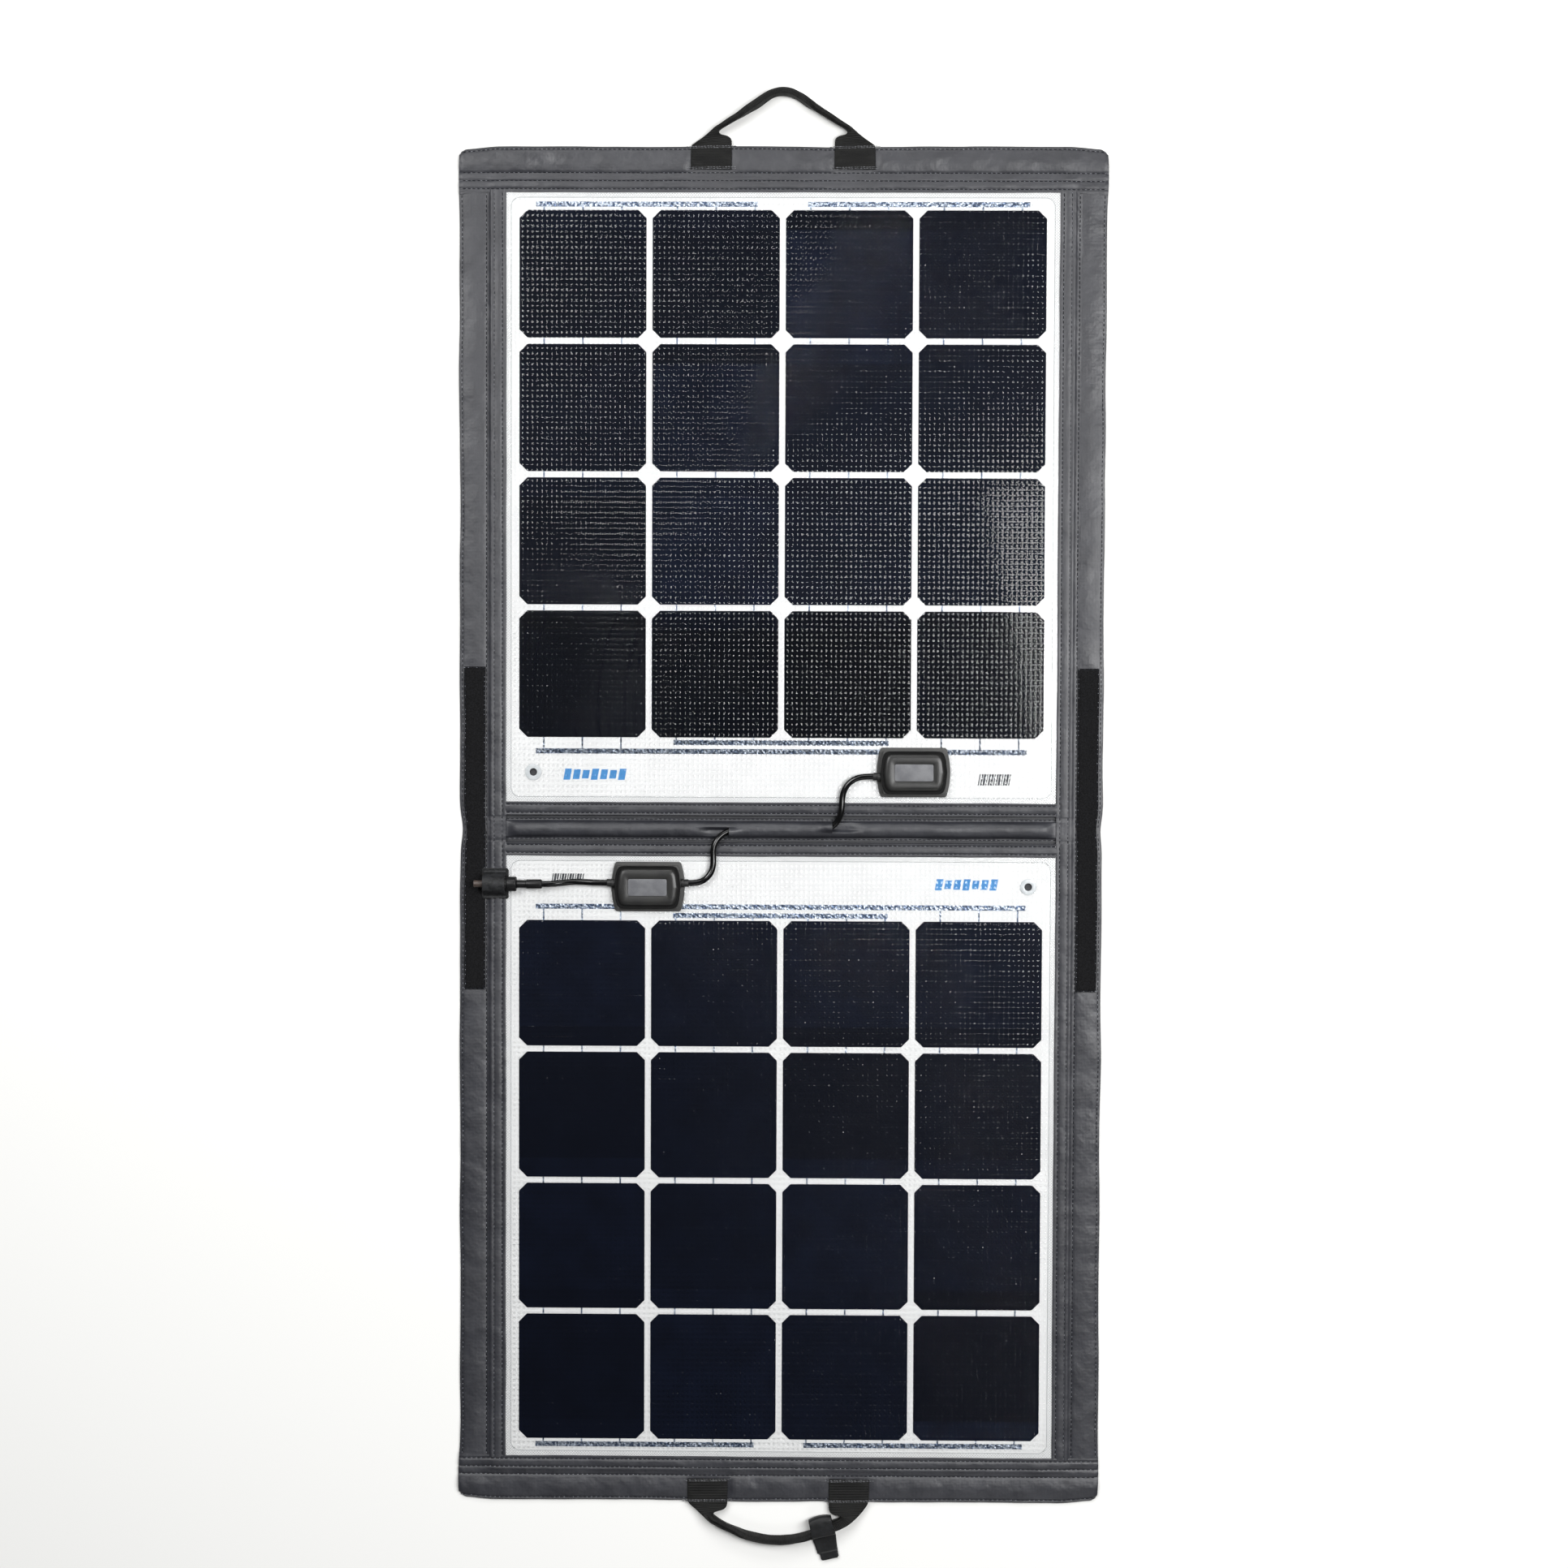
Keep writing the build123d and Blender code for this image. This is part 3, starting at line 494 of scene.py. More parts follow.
# The same plastic in the groove round a lid, darkened and dulled to paint the shade that falls in the groove.
GROOVE_SHADE_ABS = Finish("moulded_abs_groove", "#090909", "#0e0e0e", 0.7, 0.05, 0.5, 0.03, 12.0, specular=0.15)
FLANGE_ABS = Finish("moulded_abs_flange", "#3b3b3a", "#343433", 0.55, 0.06, 0.5, 0.04, 14.0)
PLATE_ABS = Finish("moulded_plate", "#6e6f72", "#5c5d61", 0.5, 0.06, 0.5, 0.02, 16.0)
GLAND_NYLON = Finish("moulded_nylon", "#1e1e1e", "#282828", 0.42, 0.06, 0.6, 0.02, 8.0, specular=0.35)
# Soft PVC jacket: extruded, so it is smooth and glossy along its length.
PVC_JACKET = Finish("pvc_jacket", "#070708", "#0c0c0d", 0.16, 0.04, 3.0, 0.02, 10.0)
PLUG_PVC = Finish("moulded_pvc", "#0e0e0f", "#151516", 0.38, 0.07, 0.5, 0.03, 6.0, specular=0.35)
TIP_PLASTIC = Finish("brown_phenolic", "#4a3f3a", "#3a312d", 0.45, 0.08, 0.5, 0.04, 4.0)
CLEAR_POLYCARBONATE = Finish("polycarbonate_ring", "#c4c8ca", "#b4b9bc", 0.25, 0.05, 1.0, 0.01, 6.0)
BRASS = Finish("stamped_brass", "#c9a55c", "#b3904b", 0.3, 0.06, 0.6, 0.02, 6.0, metallic=1.0)
EPOXY_BODY = Finish("moulded_epoxy", "#1b1b1c", "#242425", 0.5, 0.05, 0.4, 0.03, 4.0)
# Screen ink, printed thin on the back sheet.
BLUE_INK = Finish("blue_screen_ink", "#3f8fd0", "#4c9ad8", 0.5, 0.04, 0.8, 0.01, 9.0)
GREY_INK = Finish("grey_screen_ink", "#3a3d42", "#4c4f55", 0.5, 0.04, 0.8, 0.01, 5.0)


@dataclass(frozen=True)
class CellFinish:
    """Back-contact silicon: polished, with a blue-black anti-reflection coat, each cell its own shade."""

    name: str = "back_contact_silicon"
    pitch: float = 131.0
    cloud: float = 100 / 3
    dark: str = "#0a0e19"
    light: str = "#161e33"

    def fill(self, nodes: Nodes) -> None:
        """Builds the material's nodes: one shade for each cell, and a faint cloud across it."""
        place = nodes.place()
        step = nodes.vector("DIVIDE", place, (self.pitch * MM,) * 3)
        cell = nodes.vector("FLOOR", nodes.vector("ADD", step, (0.0, 0.5, 0.0)))
        shade = nodes.add("ShaderNodeTexWhiteNoise", {"Vector": cell}, noise_dimensions="2D").outputs[0]
        share = nodes.math("MULTIPLY", shade, nodes.noise(place, self.cloud, 3.0))
        colour = nodes.tones(share, self.dark, self.light)
        nodes.principled({"Base Color": colour, "Roughness": 0.4, "Specular IOR Level": 0.06})


@dataclass(frozen=True)
class RibbonFinish:
    """Tinned copper ribbon: rolled soft metal, crinkled under the film, with uneven glints partly painted
    into its colour.
    """

    name: str = "tinned_copper"
    crinkle: float = 2.6
    depth: float = 0.5
    patch: float = 2.2
    dark: str = "#53627b"
    bright: str = "#bcc6d4"

    def fill(self, nodes: Nodes) -> None:
        """Builds the material's nodes: crinkles, and patches between dark blue-grey and bright tin that are
        partly dull tin and partly painted glints.
        """
        place = nodes.place()
        crease = nodes.add("ShaderNodeTexVoronoi", {"Vector": place, "Scale": 1 / (self.crinkle * MM)})
        bump = nodes.bump(nodes.math("MULTIPLY", crease.outputs["Distance"], self.depth * MM))
        # Patches of dark blue-grey and bright tin: partly dull tin, partly painted glints.
        patches = nodes.span(nodes.noise(place, self.patch, 3.0), 0.42, 0.58, kind="SMOOTHSTEP")
        colour = nodes.tones(patches, self.dark, self.bright)
        nodes.principled({"Base Color": colour, "Metallic": 0.75, "Roughness": 0.36, "Normal": bump})


@dataclass(frozen=True)
class FilmFinish:
    """Dimpled fluoropolymer film: clear, embossed with rows of dimples, and flat at its rim.

    The dimples are under a quarter of a millimetre deep, so they are relief in the finish. Every
    other row is shorter, which makes long and short glints. half is the embossed field's half size,
    middle its middle along Y, and corner its corner radius, in millimetres.
    """

    name: str
    half: tuple[float, float]
    middle: float
    corner: float = 9.0
    pitch: float = 4.8
    row_pitch: float = 5.2
    depth: float = 0.24
    rim_pitch: float = 1.9
    rim_depth: float = 0.05
    rim_shade: float = 0.16
    edge_line: float = 0.5
    line_shade: float = 0.28
    milk: str = "#8f9498"

    def rim(self, nodes: Nodes, place: Socket) -> Socket:
        """Distance outwards from the embossed field's rounded outline, in metres."""
        inset = (*((side - self.corner) * MM for side in self.half), 1.0)
        quarter = nodes.vector("ABSOLUTE", nodes.vector("SUBTRACT", place, (0, self.middle * MM, 0)))
        outside = nodes.vector("MAXIMUM", nodes.vector("SUBTRACT", quarter, inset), (0, 0, 0))
        reach = nodes.add("ShaderNodeVectorMath", {0: outside}, operation="LENGTH").outputs["Value"]
        return nodes.math("SUBTRACT", reach, self.corner * MM)

    def dimples(self, nodes: Nodes, place: Socket) -> Socket:
        """The dimples' height in metres, in rows that are long and short in turn."""
        axes = nodes.add("ShaderNodeSeparateXYZ", {0: place})
        across = nodes.wave(axes.outputs[0], self.pitch)
        humps = nodes.wave(axes.outputs[1], self.row_pitch)
        rows = nodes.wave(axes.outputs[1], 2 * self.row_pitch)
        low = nodes.math("MULTIPLY_ADD", rows, -0.25, 0.25)
        high = nodes.math("MULTIPLY_ADD", rows, -0.35, 1.05)
        along = nodes.span(humps, low, high, kind="SMOOTHSTEP")
        return nodes.math("MULTIPLY", nodes.math("MULTIPLY", across, along), self.depth * MM)

    def mesh(self, nodes: Nodes, place: Socket) -> Socket:
        """The rim's fine slanted mesh, from 0 to 1."""
        turned = nodes.add("ShaderNodeMapping", {"Vector": place, "Rotation": (0, 0, math.radians(45))})
        axes = nodes.add("ShaderNodeSeparateXYZ", {0: turned.outputs[0]})
        return nodes.math("MULTIPLY", *(nodes.wave(axes.outputs[i], self.rim_pitch) for i in (0, 1)))

    def fill(self, nodes: Nodes) -> None:
        """Builds the material's nodes: a clear sheet with gloss, and a milky line and mesh at its rim."""
        place = nodes.place()
        rim, mesh = self.rim(nodes, place), self.mesh(nodes, place)
        in_rim = nodes.span(rim, 0.0, 0.4 * MM)
        rim_relief = nodes.math("MULTIPLY", mesh, self.rim_depth * MM)
        relief = {"Factor": in_rim, 2: self.dimples(nodes, place), 3: rim_relief}
        bump = nodes.bump(nodes.add("ShaderNodeMix", relief, data_type="FLOAT").outputs[0])
        gloss = nodes.add("ShaderNodeBsdfGlossy", {"Roughness": 0.05, "Normal": bump}).outputs[0]
        clear = nodes.add("ShaderNodeBsdfTransparent", {}).outputs[0]
        mirror = nodes.add("ShaderNodeFresnel", {"IOR": 1.42, "Normal": bump}).outputs[0]
        line = nodes.span(nodes.math("ABSOLUTE", rim), self.edge_line * MM, 0.0, 0.0, self.line_shade)
        shade = nodes.math("MULTIPLY_ADD", nodes.math("MULTIPLY", mesh, in_rim), self.rim_shade, line)
        milky = nodes.add("ShaderNodeBsdfDiffuse", {"Color": linear(self.milk)}).outputs[0]
        nodes.end(nodes.mixed(shade, nodes.mixed(mirror, clear, gloss), milky))


AnyFinish = Finish | CellFinish | RibbonFinish | FilmFinish


class Wardrobe:
    """Builds the material of each finish once and hands it out."""

    def __init__(self) -> None:
        """Starts with no material built."""
        self.built: dict[str, bpy.types.Material] = {}

    def get(self, finish: AnyFinish) -> bpy.types.Material:
        """The material of a finish, built the first time that it is asked for."""
        if finish.name not in self.built:
            self.built[finish.name] = bpy.data.materials.new(finish.name)
            finish.fill(Nodes(self.built[finish.name]))
        return self.built[finish.name]


WARDROBE = Wardrobe()


# ---------------------------------------------------------------------------------------------
# Layout and drape
# ---------------------------------------------------------------------------------------------


@dataclass
class Layout:
    """Places that the pieces share, in millimetres in a half's own (u, v), read from the frame."""

    half_width: float = 0.0
    end: float = 0.0
    fold: float = 0.0
    binding_u: float = 0.0
    binding_v: float = 0.0
    face_end: float = 0.0
    board_u: float = 0.0
    cloth: float = 0.0
    border_top: float = 0.0
    tape_reach: float = 0.0
    tape_u: tuple[float, float] = (0.0, 0.0)
    tape_width: float = 21.0
    face_top: float = 0.0
    hem_top: float = 0.0
    anchor_u: float = 70.5
    anchor_v: float = 0.0
    side_lap: float = 18.5
    fold_lap: float = 13.3

    def read(self) -> "Layout":
        """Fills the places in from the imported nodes."""
        binding_low, binding = size_of("upper_binding")
        tapes = size_of("upper_hook_tapes")[1]
        anchors = size_of("upper_handle_anchors")[0]
        joint = next(j for j in FRAME["record"]["behaviour"]["joints"] if j["name"] == "fold_upper")
        self.half_width, self.end, self.cloth = size_of("upper_back_cloth")[1]
        self.fold = joint["pos_m"][1] / MM
        self.binding_u, self.binding_v = binding.x, binding_low.y
        self.face_end = size_of("upper_end_band")[0].y
        self.board_u = size_of("upper_board")[1].x
        self.border_top = size_of("upper_side_borders")[1].z
        self.tape_reach = tapes.y
        self.tape_u = (tapes.x - self.tape_width, tapes.x)
        self.face_top = size_of("upper_front_film")[1].z
        self.anchor_v, self.hem_top = anchors.y, anchors.z
        return self

    @property
    def face_u(self) -> float:
        """Half the width of the laminate face between the side bindings."""
        return self.binding_u - self.side_lap

    @property
    def face_v(self) -> float:
        """Where the laminate face starts, past the binding along the fold."""
        return self.binding_v + self.fold_lap

    def corner(self, u: float, v: float) -> float:
        """How far a point near the bag's rounded corner moves in."""
        return 2.2 * ease(abs(u), self.half_width - 7, self.half_width) * ease(v, self.end - 7, self.end)


@dataclass
class Drape:
    """How the loose cloth outside the stiff boards wanders from the flat pattern."""

    layout: Layout
    edge_wander: float = 1.5
    pinch: float = 2.6
    corner_dip: float = 3.2
    lift: float = 1.1

    def move(self, x: float, y: float, z: float) -> Point:
        """Moves a point of the flat pattern to where the cloth has it, in millimetres."""
        place = self.layout
        hand = math.copysign(1.0, x)
        way = math.copysign(1.0, y)
        out = ease(abs(x), place.board_u, place.half_width + 8)
        far = ease(abs(y), place.face_end + 12, place.end + 6)
        sideways = self.edge_wander * ripple(y, 40 * hand, 70, 3.1) - self.pinch * bell(y, 15)
        sideways += 1.3 * bell(abs(y) - place.face_end - 18, 26)
        endways = self.edge_wander * ripple(x, 40 * way, 90, 8.4)
        endways -= self.corner_dip * ease(abs(x), place.half_width - 40, place.half_width)
        rise = self.lift * max(0.0, ripple(x, y, 34, 5.7) + 0.25) * max(out, far)
        return x + hand * out * sideways, y + way * far * endways, z + rise


@dataclass
class Half:
    """One half of the bag: its name, its body and the way its own axes point."""

    name: str
    side: int
    drape: Drape
    bending: float = 3.5

    @property
    def layout(self) -> Layout:
        """The shared places."""
        return self.drape.layout

    @property
    def body(self) -> str:
        """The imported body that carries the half."""
        return f"{self.name}_half"

    def at(self, u: float, v: float, z: float) -> Point:
        """A place in the half's own axes, in the frame's."""
        return self.side * u, self.side * v, z

    def draped(self, u: float, v: float, z: float) -> Point:
        """The same, moved as the loose cloth is."""
        return self.drape.move(*self.at(u, v, z))

    def across_fold(self, piece: Sheet) -> Sheet:
        """Bakes the place of a piece that lies across the fold, between the spine and the half, into its
        mesh.
        """
        start, stop = (self.at(0, self.layout.fold + reach, 0) for reach in (-self.bending, self.bending))
        if self.name == "upper":
            return bend(piece)
        return bend(piece)


# ---------------------------------------------------------------------------------------------
# Stitches
# ---------------------------------------------------------------------------------------------


@dataclass
class Stitcher:
    """Lays rows of lock stitches, each one a short arched thread that dips at both ends.

    Between some of them a pale speck is laid, a painted glint on the seam.
    """

    pitch: float = 4.6
    dash: float = 3.5
    thick: float = 0.74
    glint_share: float = 0.55
    stitches: list[Matrix] = field(default_factory=list)
    glint_specks: list[Matrix] = field(default_factory=list)
    dice: random.Random = field(default_factory=lambda: random.Random(41))

    def row(self, start: Point, stop: Point, place: Callable[[float, float, float], Point]) -> None:
        """Adds a straight row of stitches.

        Args:
            start: where the row starts, in a half's own axes.
            stop: where it ends.
            place: moves a point of the row to where the cloth has it.
        """
        first, last = Vector(start), Vector(stop)
        count = max(1, round((last - first).length / self.pitch))
        step = (last - first) / count
        for index in range(count):
            wander = self.dice.uniform(-0.25, 0.25)
            middle = first + step * (index + 0.5) + Vector((wander, wander, 0)) * 0.6
            ahead = Vector(place(*(middle + step * 0.3))) - Vector(place(*(middle - step * 0.3)))
            turn = Matrix.Rotation(math.atan2(ahead.y, ahead.x) + self.dice.uniform(-0.07, 0.07), 4, "Z")
            size = Matrix.Diagonal((self.dice.uniform(0.88, 1.08), 1.0, 1.0, 1.0))
            self.stitches.append(Matrix.Translation(place(*middle)) @ turn @ size)
            # A pale speck between two stitches paints a glint on the seam.
            if self.dice.random() < self.glint_share:
                gap = Matrix.Translation(place(*(middle + step * 0.5)))
                self.glint_specks.append(gap @ turn @ Matrix.Diagonal((0.3, 0.85, 0.9, 1.0)))

    def stitch(self, name: str) -> Sheet:
        """One stitch: a thread that is round, arched, and pulled into the cloth at its ends."""

        def thread(around: float, along: float) -> Point:
            share = 2 * along - 1
            fat = self.thick / 2 * (1 - 0.55 * share**4)
            angle = 2 * math.pi * around
            rise = 0.2 - 0.55 * share**4
            return self.dash / 2 * share, fat * math.cos(angle), rise + fat * math.sin(angle)

        one = shaped_grid(name, 6, 4, thread, (2.0, self.dash))
        close_seam(one)
        return one

    def sew(self, name: str, places: Sequence[Matrix], finish: Finish, slot: str) -> Sheet:
        """Makes one piece of the stitches or the pale glint specks laid so far."""
        one = self.stitch(name)
        points = np.array([v.co for v in one.data.vertices]) / MM
        faces = [tuple(face.vertices) for face in one.data.polygons]
        bpy.data.objects.remove(one)
        all_points, all_faces = [], []
        for index, place in enumerate(places):
            all_points.append(points @ np.array(place.to_3x3()).T + np.array(place.translation))
            all_faces.extend(tuple(i + index * len(points) for i in face) for face in faces)
        mesh = bpy.data.meshes.new(name)
        mesh.from_pydata((np.concatenate(all_points) * MM).tolist(), [], all_faces)
        piece = add_object(name, mesh)
        smooth(piece, 60)
        return settle(piece, finish)


# ---------------------------------------------------------------------------------------------
# Sewn cloth
# ---------------------------------------------------------------------------------------------


@dataclass
class ClothCase:
    """The sewn cloth of one half: back, side borders, bindings, end band, tapes and all stitches."""

    half: Half
    seam_depth: float = 0.6
    seam_reach: float = 1.15
    side_rows: tuple[float, ...] = (283.7, 275.7)
    fold_rows: tuple[float, ...] = (15.9, 23.9)
    end_rows: tuple[float, ...] = (629.2, 637.2, 645.2, 668.2)
    inner_row: float = 291.6
    outer_row: float = 315.2
    slack: float = 0.3
    binding_rise: float = 0.75
    binding_cloth: float = 0.6
    name: str = field(init=False)
    layout: Layout = field(init=False)

    def __post_init__(self) -> None:
        """Keeps the half's name and the shared places at hand."""
        self.name, self.layout = self.half.name, self.half.layout

    def groove(self, place: float, rows: Sequence[float]) -> float:
        """How deep a seam pulls the cloth in at a place near its rows."""
        return self.seam_depth * bell(min(abs(place - row) for row in rows), self.seam_reach)

    def creases(self, u: float, v: float) -> float:
        """Small slack creases in the sewn cloth, in millimetres."""
        coarse = ripple(u, v, 22, 1.3 * self.half.side)
        fine = ripple(u, v, 8, 4.6 * self.half.side)
        return self.slack * (coarse + 0.45 * fine)

    def bending(self, piece: Sheet, finish: Finish, slot: str, part: str = "") -> Sheet:
        """Settles a sheet that lies across the fold, in place of a part of the half and of the spine.

        Args:
            piece: the sheet.
            finish: the finish of its material.
            slot: the record's material slot; not used.
            part: the part's name without its owner's, if it stands in for one.

        Returns:
            The same sheet.
        """
        owners = [self.name, "spine"] if self.half.side > 0 else [self.name]
        nodes = [f"{owner}_{part}" for owner in owners] if part else []
        return self.half.across_fold(settle(piece, finish, nodes))

    def back(self) -> Sheet:
        """The cloth under the whole half, from the middle of the spine to its end hem."""
        place = self.layout

        def spread(s: float, t: float) -> Point:
            u = place.half_width * (2 * s - 1)
            v = place.end * t
            corner = place.corner(u, v)
            u -= math.copysign(corner, u)
            x, y, _ = self.half.draped(u, v - corner, 0.0)
            return x, y, place.cloth + 0.5 * self.half.draped(u, v, 0.0)[2]

        piece = shaped_grid(f"{self.name}_back_cloth_sheet", 120, 120, spread, (636, 671))
        thicken(piece, place.cloth)
        return self.bending(piece, POLYESTER_BACK, "fabric_grey", "back_cloth")

    def side_border(self, edge: Edge) -> Sheet:
        """The soft strip outside the board, flat under the hook tape and puffed beyond it."""
        place, hand = self.layout, edge.value

        def spread(s: float, t: float) -> Point:
            u = place.binding_u - 1.2 + (place.half_width - place.binding_u + 1.2) * s
            v = (place.face_end + 3) * t
            free = ease(v, place.tape_reach - 4, place.tape_reach + 10)
            z = place.border_top - 0.1 - self.groove(u, (self.inner_row, self.outer_row))
            z += free * 0.9 * arch((u - self.inner_row) / (self.outer_row - self.inner_row))
            z -= 1.2 * ease(u, place.half_width - 2.2, place.half_width)
            z += self.creases(hand * u, v) * (0.3 + 0.9 * free)
            return self.half.draped(hand * u, v, max(z, place.cloth + 0.3))

        piece = shaped_grid(f"{self.name}_side_border_{edge.name.lower()}", 28, 300, spread, (28, 629))
        thicken(piece, 1.1)
        return self.bending(piece, COATED_POLYESTER, "fabric_grey", "side_borders")

    def hook_tape(self, edge: Edge) -> Sheet:
        """Hook tape sewn along the border over the fold, with flat selvedges and a rough field."""
        place, hand = self.layout, edge.value
        low, high = place.tape_u

        def spread(s: float, t: float) -> Point:
            u = low + (high - low) * s
            v = place.tape_reach * t
            hooks = ease(min(u - low, high - u, place.tape_reach - v), 1.4, 2.6)
            rough = noise.noise(Vector((u * 1.3, v * 1.3, 2.2)))
            rough += 0.6 * noise.noise(Vector((u * 3, v * 3, 9.1)))
            z = place.border_top + 0.75 + hooks * (0.75 + 0.42 * rough) + 0.25 * self.creases(hand * u, v)
            return self.half.draped(hand * (u + 0.35 * ripple(v, 9 * hand, 30, 6.2)), v, z)

        piece = shaped_grid(f"{self.name}_hook_tape_{edge.name.lower()}", 34, 250, spread, (21, 160))
        thicken(piece, 0.8)
        return self.bending(piece, HOOK_TAPE, "hook_tape", "hook_tapes")

    def side_strip(self, hand: int) -> Place:
        """Where the binding over a long edge of the board lies."""
        place = self.layout
        over = place.face_top + self.binding_rise

        def spread(s: float, t: float) -> Point:
            u = place.face_u + (place.binding_u - place.face_u) * s
            v = place.binding_v + (place.face_end + 2 - place.binding_v) * t
            wander = 0.5 * ripple(v, 30 * hand, 60, 7.7) * (1 - s)
            drop = (over - place.border_top - 0.1) * ease(u, place.board_u, place.binding_u)
            z = over - drop - 0.35 * (1 - ease(u, place.face_u, place.face_u + 0.9))
            z += 0.35 * ease(u, 276, 280) * (1 - drop / 2) - self.groove(u, self.side_rows)
            z += 0.8 * self.creases(hand * u, v)
            return self.half.at(hand * (u + wander), v, max(z, place.face_top + 0.1 - drop))

        return spread

    def fold_strip(self, s: float, t: float) -> Point:
        """Where the binding along the fold lies: down the board's edge, and over it."""
        place = self.layout
        over = place.face_top + self.binding_rise
        u = (place.face_u + 2.5) * (2 * s - 1)
        v = place.binding_v - 0.4 + (place.fold_lap + 0.4) * t
        z = over - (over - 1.1) * (1 - ease(v, place.binding_v - 0.35, place.binding_v + 0.4))
        z -= 0.35 * ease(v, place.face_v - 0.9, place.face_v)
        z -= 0.45 * ease(abs(u), place.face_u - 1, place.face_u + 1.5)
        z += 0.3 * ease(v, 17, 20) + 0.8 * self.creases(u, v) - self.groove(v, self.fold_rows)
        return self.half.at(u, v + 0.5 * ripple(u, 3, 60, 2.9) * t, z)

    def binding(self) -> Sheet:
        """Cloth folded over the board's two long edges and its edge along the fold."""
        parts = [
            shaped_grid("fold_binding", 260, 40, self.fold_strip, (549, 14)),
            shaped_grid("left_binding", 20, 220, self.side_strip(-1), (18, 613)),
            shaped_grid("right_binding", 20, 220, self.side_strip(1), (18, 613)),
        ]
        for part in parts:
            thicken(part, self.binding_cloth)
        piece = join(f"{self.name}_binding_cloth", parts)
        return settle(piece, COATED_POLYESTER, [f"{self.name}_binding"], self.half.body)

    def crossing(self, edge: Edge) -> Sheet:
        """The side binding's way on over the fold and the sleeve's flattened end, to the spine's middle."""
        place, hand = self.layout, edge.value
        over = place.face_top + self.binding_rise - 0.03
        inner = place.face_u + 0.15

        def spread(s: float, t: float) -> Point:
            u = inner + (place.binding_u - inner) * s
            v = (place.binding_v + 1.5) * t
            drop = (over - place.border_top - 0.1) * ease(u, place.board_u, place.binding_u)
            z = over - drop - 0.4 * bell(v - place.fold, 2.2) - 0.35 * self.groove(u, self.side_rows)
            return self.half.at(hand * u, v, z + 0.9 * self.creases(hand * u, v))

        piece = shaped_grid(f"{self.name}_crossing_{edge.name.lower()}", 20, 16, spread, (18, 15))
        thicken(piece, self.binding_cloth)
        return self.bending(piece, COATED_POLYESTER, "fabric_grey")

    def band_top(self, u: float, v: float) -> float:
        """Height of the end band's cloth at a place of its pattern."""
        place, rows = self.layout, self.end_rows
        on_board = 1 - ease(abs(u), place.board_u - 2, place.board_u + 5)
        on_board *= 1 - ease(v, place.face_end + 12, place.face_end + 17)
        channel = arch((v - rows[2]) / (rows[3] - rows[2]))
        under_handle = 1 - ease(abs(abs(u) - place.anchor_u), 19, 27)
        z = place.hem_top + (place.face_top + self.binding_rise - place.hem_top) * on_board
        z += 1.5 * channel * (1 - under_handle)
        z += 0.3 * sum(arch((v - a) / (b - a)) for a, b in zip(rows, rows[1:3]))
        z += 0.55 * ease(abs(u), place.board_u, place.board_u + 6) * (1 - ease(v, 630, 640))
        z -= 1.5 * ease(v, place.end - 1.8, place.end)
        z -= 0.3 * (1 - ease(v, place.face_end, place.face_end + 1))
        z -= self.groove(v, rows) * (1 - 0.5 * under_handle)
        return z + (1.4 + 1.2 * channel) * self.creases(u, v) * (1 - 0.8 * under_handle)

    def end_band(self) -> Sheet:
        """The wide band over the laminate's end, with a puffed channel beyond the board."""
        place = self.layout

        def spread(s: float, t: float) -> Point:
            u = place.half_width * (2 * s - 1)
            start = place.face_end - 1.8 * ease(abs(u), place.board_u, place.half_width)
            start += 0.6 * ripple(u, 2, 70, 3.3)
            v = start + (place.end - start) * t
            corner = place.corner(u, v)
            z = max(self.band_top(u, v), place.cloth + 0.3)
            z -= 1.2 * ease(abs(u), place.half_width - 2, place.half_width)
            return self.half.draped(u - math.copysign(corner, u), v - corner, max(z, place.cloth + 0.2))

        piece = shaped_grid(f"{self.name}_end_band_cloth", 260, 56, spread, (636, 46))
        thicken(piece, 1.0)
        return settle(piece, COATED_POLYESTER, [f"{self.name}_end_band"], self.half.body)

    def stitches(self) -> list[Sheet]:
        """All of the half's seams: those that lie across the fold, and those on the board."""
        place, draped, at = self.layout, self.half.draped, self.half.at
        border_top = place.border_top - self.seam_depth
        over_top = place.face_top + self.binding_rise - self.seam_depth + 0.1
        tape_top, tape_end = place.border_top + 0.85, place.tape_reach - 1
        low, high = place.tape_u
        bending, fixed = Stitcher(), Stitcher(dice=random.Random(7))
        for hand in (-1, 1):
            for row in (self.inner_row, self.outer_row):
                bending.row((hand * row, 2, border_top), (hand * row, place.face_end - 2, border_top), draped)
            for row in (low + 1, high - 1):
                bending.row((hand * row, 2, tape_top), (hand * row, tape_end, tape_top), draped)
            bending.row((hand * low, tape_end, tape_top), (hand * high, tape_end, tape_top), draped)
            for row in self.side_rows:
                u = hand * row
                bending.row((u, 1, over_top), (u, place.binding_v, over_top), at)
                fixed.row((u, place.binding_v + 2, over_top), (u, place.face_end, over_top), at)
        for row in self.fold_rows:
            fixed.row((-place.face_u, row, over_top), (place.face_u, row, over_top), at)

        def on_band(u: float, v: float, _: float) -> Point:
            return draped(u, v, self.band_top(u, v) + 0.1)

        reach = place.half_width - 3
        for row in self.end_rows:
            fixed.row((-reach, row, 0), (reach, row, 0), on_band)
        pieces = []
        for stitcher, name in ((bending, "border"), (fixed, "band")):
            dashes = (f"{self.name}_{name}_stitches", stitcher.stitches, NYLON_THREAD)
            # The pale specks paint glints along the seams.
            glint_specks = (f"{self.name}_{name}_knots", stitcher.glint_specks, PALE_GLINT_THREAD)
            pieces += [stitcher.sew(*seam, "fabric_grey") for seam in (dashes, glint_specks)]
        for piece in pieces[:2]:
            self.half.across_fold(piece)
        for piece in pieces[2:]:
            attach(piece, self.half.body)
        return pieces

    def build(self) -> list[Sheet]:
        """Builds every cloth piece of the half."""
        pieces = [self.back(), self.binding(), self.end_band()]
        for edge in Edge:
            pieces += [self.side_border(edge), self.hook_tape(edge), self.crossing(edge)]
        return pieces + self.stitches()


